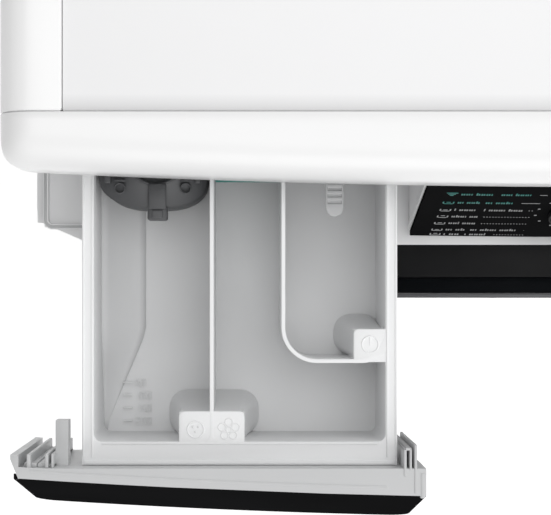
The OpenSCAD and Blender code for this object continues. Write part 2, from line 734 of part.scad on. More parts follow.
module counterweights() color([0.62, 0.61, 0.59]) at_front() {
    difference() {
        ring(mouth_r + 15, tub_r - 6, tub_v - 24, tub_v - 5.2);
        block([-half_w, 0, lip_z - 10], [half_w, 100, 999]);
    }
    difference() {
        block([15 - tray_x, tub_split + 16, door_z + tub_r - 30], [125, tub_end - 8, door_z + tub_r + 46]);
        bar_y(tub_r + 0.2, 0, 700, 0, door_z);
    }
}

module heater() color([0.6, 0.6, 0.62]) at_front() {
    z = door_z - tub_r + 16;
    for (s = [-1, 1]) bar_y(3.5, tub_end - 240, tub_end + 14, s * 35, z);
    bar_x(3.5, -35, 35, tub_end - 240, z);
    for (s = [-1, 1]) block([s * 35 - 8, tub_end + 12.2, z - 8], [s * 35 + 8, tub_end + 16, z + 8]);
}

damper_top = door_z - sqrt(tub_r * tub_r - damper_x * damper_x);

module damper_cylinders() color([0.3, 0.3, 0.32]) at_front() for (s = [-1, 1]) difference() {
    bar_z(14, base_z + 4, 165, s * damper_x, damper_v);
    bar_z(6 + run_fit, base_z + 24, 200, s * damper_x, damper_v);
}

module damper_rods() color([0.75, 0.76, 0.78]) at_front() for (s = [-1, 1]) difference() {
    union() {
        bar_z(6, 78, damper_top + 12, s * damper_x, damper_v);
        bar_z(11, damper_top - 26, damper_top + 12, s * damper_x, damper_v);
    }
    bar_y(tub_r + 0.2, 0, 700, 0, door_z);
}

// A round wire wound into a coil, as one tube along a helix
module coil(r, wire, turns, h, steps = 12, sides = 6) {
    n = turns * steps;
    rings = [for (i = [0 : n]) let (a = 360 * i / steps, z = h * i / n)
        [for (j = [0 : sides - 1]) let (b = 360 * j / sides, d = r + wire * cos(b))
            [d * cos(a), d * sin(a), z + wire * sin(b)]]];
    last = n * sides;
    polyhedron(
        points = [for (ring_points = rings) each ring_points],
        faces = concat(
            [[for (j = [sides - 1 : -1 : 0]) j]],
            [[for (j = [0 : sides - 1]) last + j]],
            [for (i = [0 : n - 1], j = [0 : sides - 1]) let (k = (j + 1) % sides)
                [i * sides + j, i * sides + k, (i + 1) * sides + k, (i + 1) * sides + j]]
        )
    );
}

spring_foot = door_z + 178;

module tub_springs() color([0.7, 0.71, 0.72]) at_front() for (s = [-1, 1])
    translate([s * spring_x, spring_v, spring_foot + 2]) coil(11, 1.6, 14, top_z - 14 - spring_foot - 4);

module tub_hoses() color([0.15, 0.15, 0.16]) at_front() {
    difference() {
        bar_z(22, 68.2, door_z - tub_r + 32, 120, 100);
        bar_z(18, 60, 300, 120, 100);
        bar_y(tub_r + 0.2, 0, 700, 0, door_z);
    }
    x = -tray_x - tray_w / 2;
    difference() {
        bar_z(18, door_z + 150, tray_floor_z - 14.2, x, 190);
        bar_z(15, door_z + 140, tray_floor_z, x, 190);
        bar_y(tub_r + 8.2, 0, 700, 0, door_z);
    }
}

module gasket() color([0.45, 0.46, 0.48]) at_front() turned() polygon([
    [161, panel_v - 2.6], [187, panel_v - 2.6], [187, panel_v - 0.1], [177.6, panel_v - 0.1],
    [177.6, 8], [170, 9], [170, 17], [176, 20], [176, 25], [mouth_r + 8, 27],
    [mouth_r + 8, tub_v - 5.2], [mouth_r + 4.2, tub_v - 5.2], [mouth_r + 4.2, tub_v - 15.3],
    [163, tub_v - 15.3], [161, 22], [172, 21], [166, 15], [166, 6], [161, 4]
]);

// ---- door ----------------------------------------------------------------------------------

module handle_space(grow) {
    block([handle_x - 6 - grow, -door_proud - 5, door_z - 46 - grow],
          [door_r + 20, handle_v + 12 + grow, door_z + 46 + grow]);
}

module door_frame() color([0.12, 0.12, 0.13]) at_front() {
    difference() {
        turned() polygon([
            [152.5, frame_back_v], [door_r - 3, frame_back_v], [door_r, frame_back_v - 3],
            [door_r, -door_proud + 12.2], [168, -door_proud + 12.2], [168, frame_back_v - 8],
            [152.5, frame_back_v - 8]
        ]);
        handle_space(0);
        block([latch_x - 8, frame_back_v - 16, door_z - 13], [latch_x + 12, 20, door_z + 13]);
        bar_z(2.5, door_z - 24, door_z + 24, latch_x, latch_v);
        bar_z(2.5, door_z - 60, door_z + 60, handle_x, handle_v);
    }
    // the barrel that turns on the hinge's pin
    difference() {
        union() {
            bar_z(knuckle_r, door_z - hinge_reach + 13, door_z + hinge_reach - 13, hinge_x, hinge_v);
            block([hinge_x, hinge_v - 5, door_z - hinge_reach + 13],
                  [-door_r + 12, hinge_v + 5, door_z + hinge_reach - 13]);
        }
        bar_z(3 + run_fit, 0, 900, hinge_x, hinge_v);
        turned() translate([0, -door_proud]) square([door_r - 2, door_proud]);
    }
}

module door_cover() color([0.04, 0.045, 0.06]) at_front() difference() {
    turned() polygon([
        [0, -door_proud - 1], [150, -door_proud + 2.8], [door_r - 1, -door_proud + 2.8],
        [door_r - 1, -door_proud + 12], [0, -door_proud + 12]
    ]);
    handle_space(0);
    bar_z(2.5, door_z - 60, door_z + 60, handle_x, handle_v);
    turned() translate([0, -door_proud + 6]) square([160, 10]);
}

module door_trim_ring() color([0.4, 0.41, 0.43]) at_front() difference() {
    ring(door_r - 20, door_r, -door_proud, -door_proud + 2.7);
    handle_space(0);
}

module door_glass() color([0.6, 0.65, 0.68, 0.5]) at_front() turned() polygon([
    [bowl_r - 8, frame_back_v - 8.2], [166, frame_back_v - 8.2], [166, frame_back_v - 12],
    [bowl_r - 13, frame_back_v - 12], [bowl_r - 42, bowl_depth - 11], [0, bowl_depth - 5],
    [0, bowl_depth], [bowl_r - 38, bowl_depth - 6], [bowl_r, 0], [bowl_r, frame_back_v - 8.2 + eps]
]);

module door_handle() color([0.1, 0.1, 0.11]) at_front() difference() {
    union() {
        bar_z(4.6, door_z - 44, door_z + 44, handle_x, handle_v);
        intersection() {
            block([handle_x, handle_v - 4, door_z - 44], [door_r + 5, handle_v + 3, door_z + 44]);
            bar_y(door_r - 1, -90, 90, 0, door_z);
        }
    }
    bar_z(2.5 + run_fit, door_z - 60, door_z + 60, handle_x, handle_v);
}

module latch_hook() color([0.75, 0.76, 0.78]) at_front() difference() {
    union() {
        bar_z(5, door_z - 9, door_z + 9, latch_x, latch_v);
        block([latch_x - 3, latch_v, door_z - 9], [latch_x + 3, 6, door_z + 9]);
        block([latch_x - 3, 2, door_z - 9], [latch_x + 8, 6, door_z + 9]);
    }
    bar_z(2.5 + run_fit, 0, 900, latch_x, latch_v);
}

module door_lock() color([0.88, 0.88, 0.88]) at_front() difference() {
    block([latch_x - 16, panel_v + sheet_t + 0.1, door_z - 40], [latch_x + 20, 14, door_z + 40]);
    block([latch_x - 11, -20, door_z - 14], [latch_x + 15, 11, door_z + 14]);
}

knuckle_r = 8;

module hinge_bracket() color([0.6, 0.61, 0.63]) at_front() difference() {
    union() {
        block([hinge_x - 22, panel_v - 3, door_z - hinge_reach - 24],
              [hinge_x + 8, panel_v - 0.1, door_z + hinge_reach + 24]);
        for (s = [-1, 1]) {
            z = door_z + s * hinge_reach;
            bar_z(knuckle_r, z - 12, z + 12, hinge_x, hinge_v);
            block([hinge_x - 6, hinge_v, z - 12], [hinge_x + 6, panel_v - 1, z + 12]);
        }
    }
    bar_z(3, 0, 900, hinge_x, hinge_v);
}

module hinge_pin() color([0.8, 0.8, 0.82]) at_front()
    bar_z(3, door_z - hinge_reach - 14, door_z + hinge_reach + 14, hinge_x, hinge_v);

module door_pins() color([0.8, 0.8, 0.82]) at_front() {
    bar_z(2.5, door_z - 22, door_z + 22, latch_x, latch_v);
    bar_z(2.5, door_z - 58, door_z + 58, handle_x, handle_v);
}

worktop_board();
worktop_front_trim();
worktop_side_trims();
side_panels();
front_panel();
rear_panel();
rear_cover();
base_tray();
plinth_panel();
top_brace();
fascia_housing();
fascia_lens();
display_window();
control_board();
dispenser_housing();
inlet_valve();
cabinet_hoses();
drain_pump();
door_lock();
hinge_bracket();
hinge_pin();
gasket();
tub_springs();
damper_cylinders();
rear_feet();
foot_left();
foot_right();
filter_cap();
filter_flap();
program_knob();
power_button();
start_button();
option_button();
drawer_tray();
drawer_front();
drawer_lens();
liquid_insert();
siphon_cap();
release_tongue();
tub_front();
tub_rear();
counterweights();
motor();
heater();
bearings();
drive_belt();
damper_rods();
tub_hoses();
drum();
drum_lifters();
drum_spider();
drum_pulley();
motor_pulley();
door_frame();
door_cover();
door_trim_ring();
door_glass();
door_handle();
latch_hook();
door_pins();
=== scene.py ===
import math
import json
import bpy
import bmesh
from mathutils import Matrix, Vector


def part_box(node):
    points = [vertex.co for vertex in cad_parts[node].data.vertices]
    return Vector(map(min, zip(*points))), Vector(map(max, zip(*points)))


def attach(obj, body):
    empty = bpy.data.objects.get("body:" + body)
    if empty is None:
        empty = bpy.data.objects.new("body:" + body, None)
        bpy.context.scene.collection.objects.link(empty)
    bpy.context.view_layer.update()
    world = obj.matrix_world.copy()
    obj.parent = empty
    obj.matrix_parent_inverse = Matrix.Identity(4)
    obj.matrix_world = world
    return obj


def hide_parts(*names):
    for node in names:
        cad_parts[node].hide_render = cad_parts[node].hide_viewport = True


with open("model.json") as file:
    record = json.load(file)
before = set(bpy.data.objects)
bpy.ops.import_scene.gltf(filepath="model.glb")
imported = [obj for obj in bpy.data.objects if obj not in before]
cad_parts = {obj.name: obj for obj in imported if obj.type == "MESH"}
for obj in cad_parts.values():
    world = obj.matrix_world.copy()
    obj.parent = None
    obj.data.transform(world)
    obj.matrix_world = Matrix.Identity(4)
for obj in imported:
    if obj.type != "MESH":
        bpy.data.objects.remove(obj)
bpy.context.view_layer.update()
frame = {"nodes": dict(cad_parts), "record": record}
scene = bpy.context.scene
print("frame loaded:", len(frame["nodes"]), "nodes")


# shader maths
class Wire:
    def __init__(self, mat, socket):
        self.mat = mat
        self.socket = socket

    def math(self, operation, other):
        return self.mat.node("ShaderNodeMath", {"operation": operation}, {0: self, 1: other})

    def __sub__(self, other):
        return self.math("SUBTRACT", other)

    def __mul__(self, other):
        return self.math("MULTIPLY", other)

    def __rsub__(self, other):
        return self.mat.node("ShaderNodeMath", {"operation": "SUBTRACT"}, {0: other, 1: self})


class Finish:
    def __init__(self, name):
        self.material = bpy.data.materials.new(name)
        self.material.use_nodes = True
        self.tree = self.material.node_tree
        self.shader = self.tree.nodes["Principled BSDF"]

    def node(self, kind, settings=None, inputs=None, output=0):
        made = self.tree.nodes.new(kind)
        for key, value in (settings or {}).items():
            setattr(made, key, value)
        for key, value in (inputs or {}).items():
            self.feed(made.inputs[key], value)
        return Wire(self, made.outputs[output])

    def feed(self, socket, value):
        if isinstance(value, Wire):
            self.tree.links.new(value.socket, socket)
        else:
            socket.default_value = value

    def set(self, name, value):
        self.feed(self.shader.inputs[name], value)

    def place(self):
        return self.node("ShaderNodeTexCoord", {}, {}, "Object")

    def noise(self, scale, detail=3.0, stretch=None):
        where = self.place()
        if stretch:
            where = self.node("ShaderNodeMapping", {}, {"Vector": where, "Scale": stretch}, "Vector")
        return self.node("ShaderNodeTexNoise", {}, {"Vector": where, "Scale": scale, "Detail": detail}, 0)

    def ramp(self, value, low, high, atLow=0.0, atHigh=1.0):
        return self.node("ShaderNodeMapRange", {"clamp": True}, {
            "Value": value, "From Min": low, "From Max": high, "To Min": atLow, "To Max": atHigh})

    def part(self, vector, index):
        return self.node("ShaderNodeSeparateXYZ", {}, {0: vector}, index)

    def tint(self, colour, grey):
        return self.node("ShaderNodeVectorMath", {"operation": "SCALE"}, {0: colour[:3], "Scale": grey})

    def mix(self, factor, first, second):
        return self.node("ShaderNodeMix", {"data_type": "RGBA"}, {0: factor, 6: first, 7: second}, 2)

    def bump(self, height, distance, strength=1.0):
        self.set("Normal", self.node("ShaderNodeBump", {}, {
            "Height": height, "Distance": distance, "Strength": strength}))


finishes = {}


def plasticFinish(name, colour, rough=0.4, grain=900.0, depth=0.00002, drift=0.03, coat=0.0, specular=0.5):
    # fine moulded grain, a slow drift in tone and slightly uneven gloss
    made = Finish(name)
    dark = tuple(c * (1 - drift) for c in colour) + (1,)
    slow = made.noise(7.0, 2.0)
    made.set("Base Color", made.mix(made.ramp(slow, 0.35, 0.65), dark, tuple(colour) + (1,)))
    made.set("Roughness", made.ramp(made.noise(60.0, 4.0), 0.3, 0.7, rough * 0.92, rough * 1.08))
    made.bump(made.noise(grain, 2.0), depth)
    made.shader.inputs["Coat Weight"].default_value = coat
    made.shader.inputs["Coat Roughness"].default_value = 0.05
    made.shader.inputs["Specular IOR Level"].default_value = specular
    finishes[name] = made.material
    return made


def metalFinish(name, colour, rough=0.35, stretch=(1, 1, 1), grain=300.0, drift=0.12):
    made = Finish(name)
    streak = made.noise(grain, 3.0, stretch)
    dark = tuple(c * (1 - drift) for c in colour) + (1,)
    made.set("Base Color", made.mix(made.ramp(streak, 0.3, 0.7), dark, tuple(colour) + (1,)))
    made.set("Roughness", made.ramp(made.noise(40.0, 4.0), 0.3, 0.7, rough * 0.8, rough * 1.2))
    made.bump(streak, 0.00001)
    made.shader.inputs["Metallic"].default_value = 1.0
    finishes[name] = made.material
    return made


plasticFinish("whiteEnamel", (0.90, 0.90, 0.90), 0.30, 260.0, 0.00002, 0.012, 0.25)
plasticFinish("whitePlastic", (0.93, 0.93, 0.93), 0.33, 700.0, 0.000008, 0.01)


def boardFinish():
    # a laminate that lies in the shade of the moulded strip along its front
    made = plasticFinish("boardLaminate", (0.90, 0.90, 0.905), 0.42, 1400.0, 0.00001, 0.01)
    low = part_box("worktop_board")[0]
    back = made.part(made.place(), 1) - low.y
    shade = made.ramp(back, 0.0, 0.008, 0.80, 1.0)
    shade = shade * made.ramp(back, 0.008, 0.10, 0.965, 1.0)
    made.set("Base Color", made.tint((0.90, 0.90, 0.905, 1), shade))


def drawerFinish():
    # painted shade: pale at the rims and darker towards the floor of each compartment and along the front
    # shelf, under a random mottle in tone
    made = plasticFinish("drawerPlastic", (0.87, 0.875, 0.88), 0.45, 1100.0, 0.00001, 0.03)
    low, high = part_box("drawer_tray")
    up = made.part(made.place(), 2)
    back = made.part(made.place(), 1)
    # painted shade, darker towards each compartment's floor
    shade = made.ramp(up, high.z - 0.045, high.z - 0.0008, 0.84, 1.0)
    mottle = made.ramp(made.noise(9.0, 2.0), 0.3, 0.7, 0.97, 1.03)
    # a random mottle in tone, and painted shade along the front shelf
    shade = shade * mottle * made.ramp(back, low.y + 0.009, low.y + 0.014, 0.93, 1.0)
    made.set("Base Color", made.tint((0.87, 0.875, 0.88, 1), shade))


boardFinish()
drawerFinish()
plasticFinish("fasciaPlastic", (0.57, 0.575, 0.58), 0.42, 1200.0, 0.00001, 0.03)
plasticFinish("fasciaPale", (0.86, 0.862, 0.866), 0.40, 1200.0, 0.00001, 0.02)
plasticFinish("insertPlastic", (0.085, 0.087, 0.091), 0.42, 900.0, 0.00002, 0.12)
plasticFinish("tealPlastic", (0.015, 0.17, 0.15), 0.4, 900.0, 0.00002, 0.1)
plasticFinish("blackGloss", (0.0098, 0.0099, 0.0104), 0.35, 40.0, 0.000002, 0.25, 0.0, 0.0)
plasticFinish("blackSatin", (0.0105, 0.0107, 0.0114), 0.42, 1500.0, 0.00001, 0.2, 0.0, 0.12)
plasticFinish("smokedWindow", (0.0062, 0.0072, 0.0086), 0.3, 30.0, 0.000002, 0.3, 0.0, 0.015)
plasticFinish("trimGrey", (0.11, 0.112, 0.118), 0.3, 900.0, 0.00001, 0.1)
plasticFinish("tubPlastic", (0.42, 0.43, 0.45), 0.5, 500.0, 0.00004, 0.08)
plasticFinish("basePlastic", (0.03, 0.031, 0.033), 0.55, 700.0, 0.00004, 0.15)
plasticFinish("greyRubber", (0.16, 0.165, 0.172), 0.6, 900.0, 0.00003, 0.1)
plasticFinish("blackRubber", (0.012, 0.012, 0.013), 0.65, 800.0, 0.00004, 0.2)
plasticFinish("concrete", (0.36, 0.35, 0.335), 0.9, 140.0, 0.0006, 0.25, 0.0, 0.2)
plasticFinish("circuitGreen", (0.012, 0.09, 0.035), 0.35, 300.0, 0.00004, 0.3)
plasticFinish("motorPaint", (0.06, 0.062, 0.067), 0.4, 400.0, 0.00003, 0.2)
plasticFinish("inkWhite", (0.34, 0.345, 0.35), 0.45, 900.0, 0.00001, 0.05)
plasticFinish("inkTeal", (0.015, 0.22, 0.19), 0.45, 900.0, 0.00001, 0.05)
plasticFinish("inkGrey", (0.50, 0.505, 0.515), 0.45, 900.0, 0.00001, 0.05)
metalFinish("galvanised", (0.55, 0.56, 0.58), 0.42, (1, 1, 1), 45.0, 0.2)
metalFinish("brushedSteel", (0.62, 0.62, 0.63), 0.28, (1, 0.05, 1), 900.0, 0.15)
metalFinish("castAlloy", (0.5, 0.5, 0.51), 0.5, (1, 1, 1), 200.0, 0.2)


def glassFinish():
    made = plasticFinish("bowlGlass", (0.75, 0.8, 0.82), 0.03, 30.0, 0.000004, 0.02, 0.0)
    made.shader.inputs["Alpha"].default_value = 0.35


glassFinish()


def drumFinish():
    # polished steel punched with a hexagonal field of small holes
    made = plasticFinish("drumSteel", (0.6, 0.6, 0.61), 0.22, 300.0, 0.00001, 0.1)
    cells = made.node("ShaderNodeTexVoronoi", {"feature": "F1"}, {
        "Vector": made.place(), "Scale": 70.0, "Randomness": 0.0}, 0)
    hole = made.ramp(cells, 0.20, 0.24, 1.0, 0.0)
    made.set("Base Color", made.mix(hole, (0.6, 0.6, 0.61, 1), (0.02, 0.02, 0.02, 1)))
    made.bump(1.0 - hole, 0.0008)
    made.shader.inputs["Metallic"].default_value = 1.0


drumFinish()

slotFinish = {
    "white_enamel": "whiteEnamel", "white_plastic": "whitePlastic", "light_grey_plastic": "fasciaPlastic",
    "drawer_plastic": "drawerPlastic", "board_laminate": "boardLaminate", "black_gloss": "blackGloss",
    "black_satin": "blackSatin", "smoked_window": "smokedWindow", "steel_grey": "brushedSteel",
    "trim_grey": "trimGrey", "dark_grey_plastic": "insertPlastic", "teal_plastic": "tealPlastic",
    "galvanised": "galvanised", "tub_plastic": "tubPlastic", "concrete": "concrete",
    "cast_alloy": "castAlloy", "rubber_grey": "greyRubber", "rubber_black": "blackRubber",
    "bowl_glass": "bowlGlass", "base_plastic": "basePlastic", "circuit_green": "circuitGreen",
    "motor_paint": "motorPaint",
}
nodeSlot = {s["node"]: s["material_slot"] for s in frame["record"]["subparts"]}
nodeBody = {n: body for body, names in frame["record"]["behaviour"]["bodies"].items() for n in names}


def dress(obj, finish):
    obj.data.materials.clear()
    obj.data.materials.append(finishes[finish])


for name, obj in frame["nodes"].items():
    dress(obj, "drumSteel" if name == "drum" else slotFinish[nodeSlot[name]])
print("materials done:", len(finishes))


# mesh helpers
def link(bm, name, finish, body, replaces=()):
    bmesh.ops.remove_doubles(bm, verts=bm.verts, dist=0.000002)
    bmesh.ops.recalc_face_normals(bm, faces=bm.faces)
    mesh = bpy.data.meshes.new(name)
    bm.to_mesh(mesh)
    bm.free()
    for polygon in mesh.polygons:
        polygon.use_smooth = True
    obj = bpy.data.objects.new(name, mesh)
    scene.collection.objects.link(obj)
    dress(obj, finish)
    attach(obj, body)
    if replaces:
        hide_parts(*replaces)
    return obj


def roundEdges(obj, width, segments=2, angle=30):
    bevel = obj.modifiers.new("edges", "BEVEL")
    bevel.width = width
    bevel.segments = segments
    bevel.limit_method = "ANGLE"
    bevel.angle_limit = math.radians(angle)
    bevel.use_clamp_overlap = True
    bevel.harden_normals = True
    return obj


def soften(node, width, finish=None, segments=2, angle=32):
    # a merged copy of a CAD solid with its edges rounded over
    bm = bmesh.new()
    bm.from_mesh(frame["nodes"][node].data)
    bmesh.ops.remove_doubles(bm, verts=bm.verts, dist=0.000004)
    bmesh.ops.dissolve_limit(bm, angle_limit=math.radians(0.6), verts=bm.verts, edges=bm.edges)
    slot = nodeSlot[node]
    obj = link(bm, node + "_soft", finish or slotFinish[slot], nodeBody[node], [node])
    return roundEdges(obj, width, segments, angle)


def box(bm, lo, hi, bevel=0.0, segments=3, matrix=None):
    lo, hi = Vector(lo), Vector(hi)
    piece = bmesh.new()
    bmesh.ops.create_cube(piece, size=1.0)
    bmesh.ops.scale(piece, vec=hi - lo, verts=piece.verts)
    if bevel:
        bmesh.ops.bevel(piece, geom=list(piece.edges), offset=bevel, offset_type="OFFSET", segments=segments,
                        profile=0.5, affect="EDGES", material=-1, clamp_overlap=True)
    bmesh.ops.translate(piece, vec=(lo + hi) / 2, verts=piece.verts)
    if matrix:
        bmesh.ops.transform(piece, matrix=matrix, verts=piece.verts)
    merge(bm, piece)


def merge(bm, piece):
    scratch = bpy.data.meshes.new("scratch")
    piece.to_mesh(scratch)
    piece.free()
    bm.from_mesh(scratch)
    bpy.data.meshes.remove(scratch)


def disc(bm, radius, depth, matrix, bevel=0.0, segments=32):
    piece = bmesh.new()
    bmesh.ops.create_cone(piece, cap_ends=True, segments=segments, radius1=radius, radius2=radius,
                          depth=depth)
    if bevel:
        rims = [e for e in piece.edges if abs(e.verts[0].co.z - e.verts[1].co.z) < depth * 0.1]
        bmesh.ops.bevel(piece, geom=rims, offset=bevel, offset_type="OFFSET", segments=2,
                        profile=0.5, affect="EDGES", material=-1)
    bmesh.ops.transform(piece, matrix=matrix, verts=piece.verts)
    merge(bm, piece)


# the shape the whole front follows
lensLow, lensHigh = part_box("fascia_lens")
trayLow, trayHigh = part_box("drawer_tray")
drawerLow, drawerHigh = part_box("drawer_lens")
trimLow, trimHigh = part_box("worktop_front_trim")
front = {
    "bow": 4.5,                     # radius of the bow, seen from above
    "edge": trimLow.y - 0.0015,     # the line that the lens and drawer are measured from
    "headBack": 0.0032,             # the lens's head behind that line
    "lean": 0.023,                  # how far the lens's foot stands ahead of its head
    "head": lensHigh.z,
    "foot": lensLow.z,
    "pulled": 0.157,                # how far the drawer stands open
}


def bow(x):
    return front["bow"] - math.sqrt(front["bow"] ** 2 - x * x)


def lensPlace(x, z, pulled=0.0):
    # a frame on the lens: X along it, Y up its slope, Z out of it
    down = (front["head"] - z) / (front["head"] - front["foot"])
    y = front["edge"] + front["headBack"] - front["lean"] * down + bow(x) - pulled
    tilt = math.pi / 2 - math.atan2(front["lean"], front["head"] - front["foot"])
    yaw = math.asin(x / front["bow"])
    return Matrix.Translation((x, y, z)) @ Matrix.Rotation(yaw, 4, "Z") @ Matrix.Rotation(tilt, 4, "X")


# plain solids that only need softer edges
softEdges = {
    "worktop_board": 0.0005, "worktop_side_trims": 0.0012,
    "side_panels": 0.0005, "front_panel": 0.0005, "plinth_panel": 0.0006, "filter_flap": 0.0005,
    "rear_panel": 0.0004, "rear_cover": 0.0008, "base_tray": 0.001, "top_brace": 0.0005,
    "fascia_housing": 0.0005, "fascia_lens": 0.0004,
    "program_knob": 0.0009, "power_button": 0.0006, "start_button": 0.0006, "option_button": 0.0006,
    "release_tongue": 0.0006,
    "door_frame": 0.0008, "door_cover": 0.0008, "door_trim_ring": 0.0006, "door_handle": 0.0008,
    "latch_hook": 0.0005, "hinge_bracket": 0.0006, "foot_left": 0.0008, "foot_right": 0.0008,
    "rear_feet": 0.0008, "inlet_valve": 0.0008, "drain_pump": 0.001, "filter_cap": 0.0008,
    "door_lock": 0.0008, "motor": 0.0012, "counterweights": 0.003, "dispenser_housing": 0.0008,
    "drum_lifters": 0.003, "drum_pulley": 0.0008, "tub_rear": 0.001, "tub_front": 0.001,
}
for node, width in softEdges.items():
    soften(node, width, "fasciaPale" if node == "fascia_housing" else None)
print("softened:", len(softEdges))


# the worktop's front strip, rounded over along its front and both ends
topEdge = {
    "round": 0.018,         # how far the rounding reaches back and down
    "squareness": 3.4,      # 2 is a plain quarter circle
    "bow": 5.8,             # radius of the bow, seen from above
    "ends": 0.036,          # stretch at each end with closer columns
    "dip": 0.0006,          # the back edge drops into the seam
    "across": 96, "over": 12, "end": 14,
}


def buildTopEdge():
    r, p = topEdge["round"], topEdge["squareness"]
    half = trimHigh.x
    xs = [half - topEdge["ends"] * (k / topEdge["end"]) ** 1.6 for k in range(topEdge["end"])]
    inner = half - topEdge["ends"]
    middle = [inner - 2 * inner * k / topEdge["across"] for k in range(topEdge["across"] + 1)]
    columns = xs + middle + [-x for x in reversed(xs)]
    bm = bmesh.new()
    upper, lower = [], []
    for x in columns:
        side = max(0.0, r - (half - abs(x)))
        start = trimLow.y + topEdge["bow"] - math.sqrt(topEdge["bow"] ** 2 - x * x)
        first = r - (r ** p - side ** p) ** (1 / p)
        depths = [first + (1 - math.sin(math.pi / 2 * (1 - k / topEdge["over"]))) * (r - first)
                  for k in range(topEdge["over"] + 1)]
        rest = trimHigh.y - start
        depths += [r + (rest - r) * t for t in (0.15, 0.5, 0.95, 1.0)]
        top, foot = [], []
        for k, depth in enumerate(depths):
            ahead = max(0.0, r - depth)
            away = min(r, (side ** p + ahead ** p) ** (1 / p))
            z = trimHigh.z - r + math.sqrt(max(0.0, r * r - away * away))
            if k == len(depths) - 1:
                z -= topEdge["dip"]
            top.append(bm.verts.new((x, start + depth, z)))
            foot.append(bm.verts.new((x, start + depth, trimLow.z)))
        upper.append(top)
        lower.append(foot)
    last = len(columns) - 1
    for i in range(last):
        for k in range(len(upper[0]) - 1):
            bm.faces.new((upper[i][k], upper[i + 1][k], upper[i + 1][k + 1], upper[i][k + 1]))
            bm.faces.new((lower[i][k], lower[i][k + 1], lower[i + 1][k + 1], lower[i + 1][k]))
        bm.faces.new((upper[i][0], lower[i][0], lower[i + 1][0], upper[i + 1][0]))
        bm.faces.new((upper[i][-1], upper[i + 1][-1], lower[i + 1][-1], lower[i][-1]))
    for i in (0, last):
        for k in range(len(upper[0]) - 1):
            bm.faces.new((upper[i][k], upper[i][k + 1], lower[i][k + 1], lower[i][k]))
    bmesh.ops.recalc_face_normals(bm, faces=bm.faces)
    link(bm, "top_front_strip", "whitePlastic", "cabinet", ["worktop_front_trim"])


buildTopEdge()


# drawer tray
tray = {
    "rim": 0.006, "wall": 0.0025, "shelf": 0.012, "wash": 0.059, "prewashFront": 0.052,
    "bead": 0.0009,
    "tab": 0.0336, "tabIn": 0.0158,         # the wash pillar's plate and its reach into the wash side
    "bankFrom": 0.0125, "bankLong": 0.150,  # the bank along the left wall
    "bankReach": 0.0225, "bankRise": 0.0165, "bankCut": 0.42,
    "film": 0.0003,                         # pieces stand clear of the floor and wall by this
}


def trayAt(x, y, z=0.0):
    # a point measured from the tray's left side, its front and its rim
    return Vector((trayLow.x + x, trayLow.y + y, trayHigh.z + z))


def trayBox(bm, x0, y0, z0, x1, y1, z1, bevel=0.0, segments=2):
    box(bm, trayAt(x0, y0, z0), trayAt(x1, y1, z1), bevel, segments)


def roundedPlate(bm, x0, y0, x1, y1, z0, z1, radius, bevel=0.0003):
    # a flat plate with rounded corners in plan
    piece = bmesh.new()
    bmesh.ops.create_cube(piece, size=1.0)
    lo, hi = trayAt(x0, y0, z0), trayAt(x1, y1, z1)
    bmesh.ops.scale(piece, vec=hi - lo, verts=piece.verts)
    upright = [e for e in piece.edges if abs(e.verts[0].co.z - e.verts[1].co.z) > 1e-5]
    bmesh.ops.bevel(piece, geom=upright, offset=radius, offset_type="OFFSET", segments=6,
                    profile=0.5, affect="EDGES", material=-1)
    level = [e for e in piece.edges if abs(e.verts[0].co.z - e.verts[1].co.z) < 1e-6]
    bmesh.ops.bevel(piece, geom=level, offset=bevel, offset_type="OFFSET", segments=2,
                    profile=0.5, affect="EDGES", material=-1)
    bmesh.ops.translate(piece, vec=(lo + hi) / 2, verts=piece.verts)
    merge(bm, piece)


def flare(bm, x0, y0, x1, y1, low, high, grow, keep):
    # a pillar's walls, which spread as they go down; "keep" sides stay where they are
    rings = []
    steps, turns = 8, 6
    for k in range(steps + 1):
        t = k / steps
        out = grow * t ** 2.6
        a0, b0 = x0 - (0 if "left" in keep else out), y0 - (0 if "front" in keep else out)
        a1, b1 = x1 + (0 if "right" in keep else out), y1 + (0 if "back" in keep else out)
        r = 0.003 + out * 0.9
        z = high + (low - high) * t
        ring = []
        corners = ((a1 - r, b1 - r, 0), (a0 + r, b1 - r, 1), (a0 + r, b0 + r, 2), (a1 - r, b0 + r, 3))
        for cx, cy, turn in corners:
            for j in range(turns + 1):
                angle = math.pi / 2 * (turn + j / turns)
                ring.append(bm.verts.new(trayAt(cx + r * math.cos(angle), cy + r * math.sin(angle), z)))
        rings.append(ring)
    for upper, lower in zip(rings, rings[1:]):
        count = len(upper)
        for j in range(count):
            k = (j + 1) % count
            bm.faces.new((upper[j], lower[j], lower[k], upper[k]))


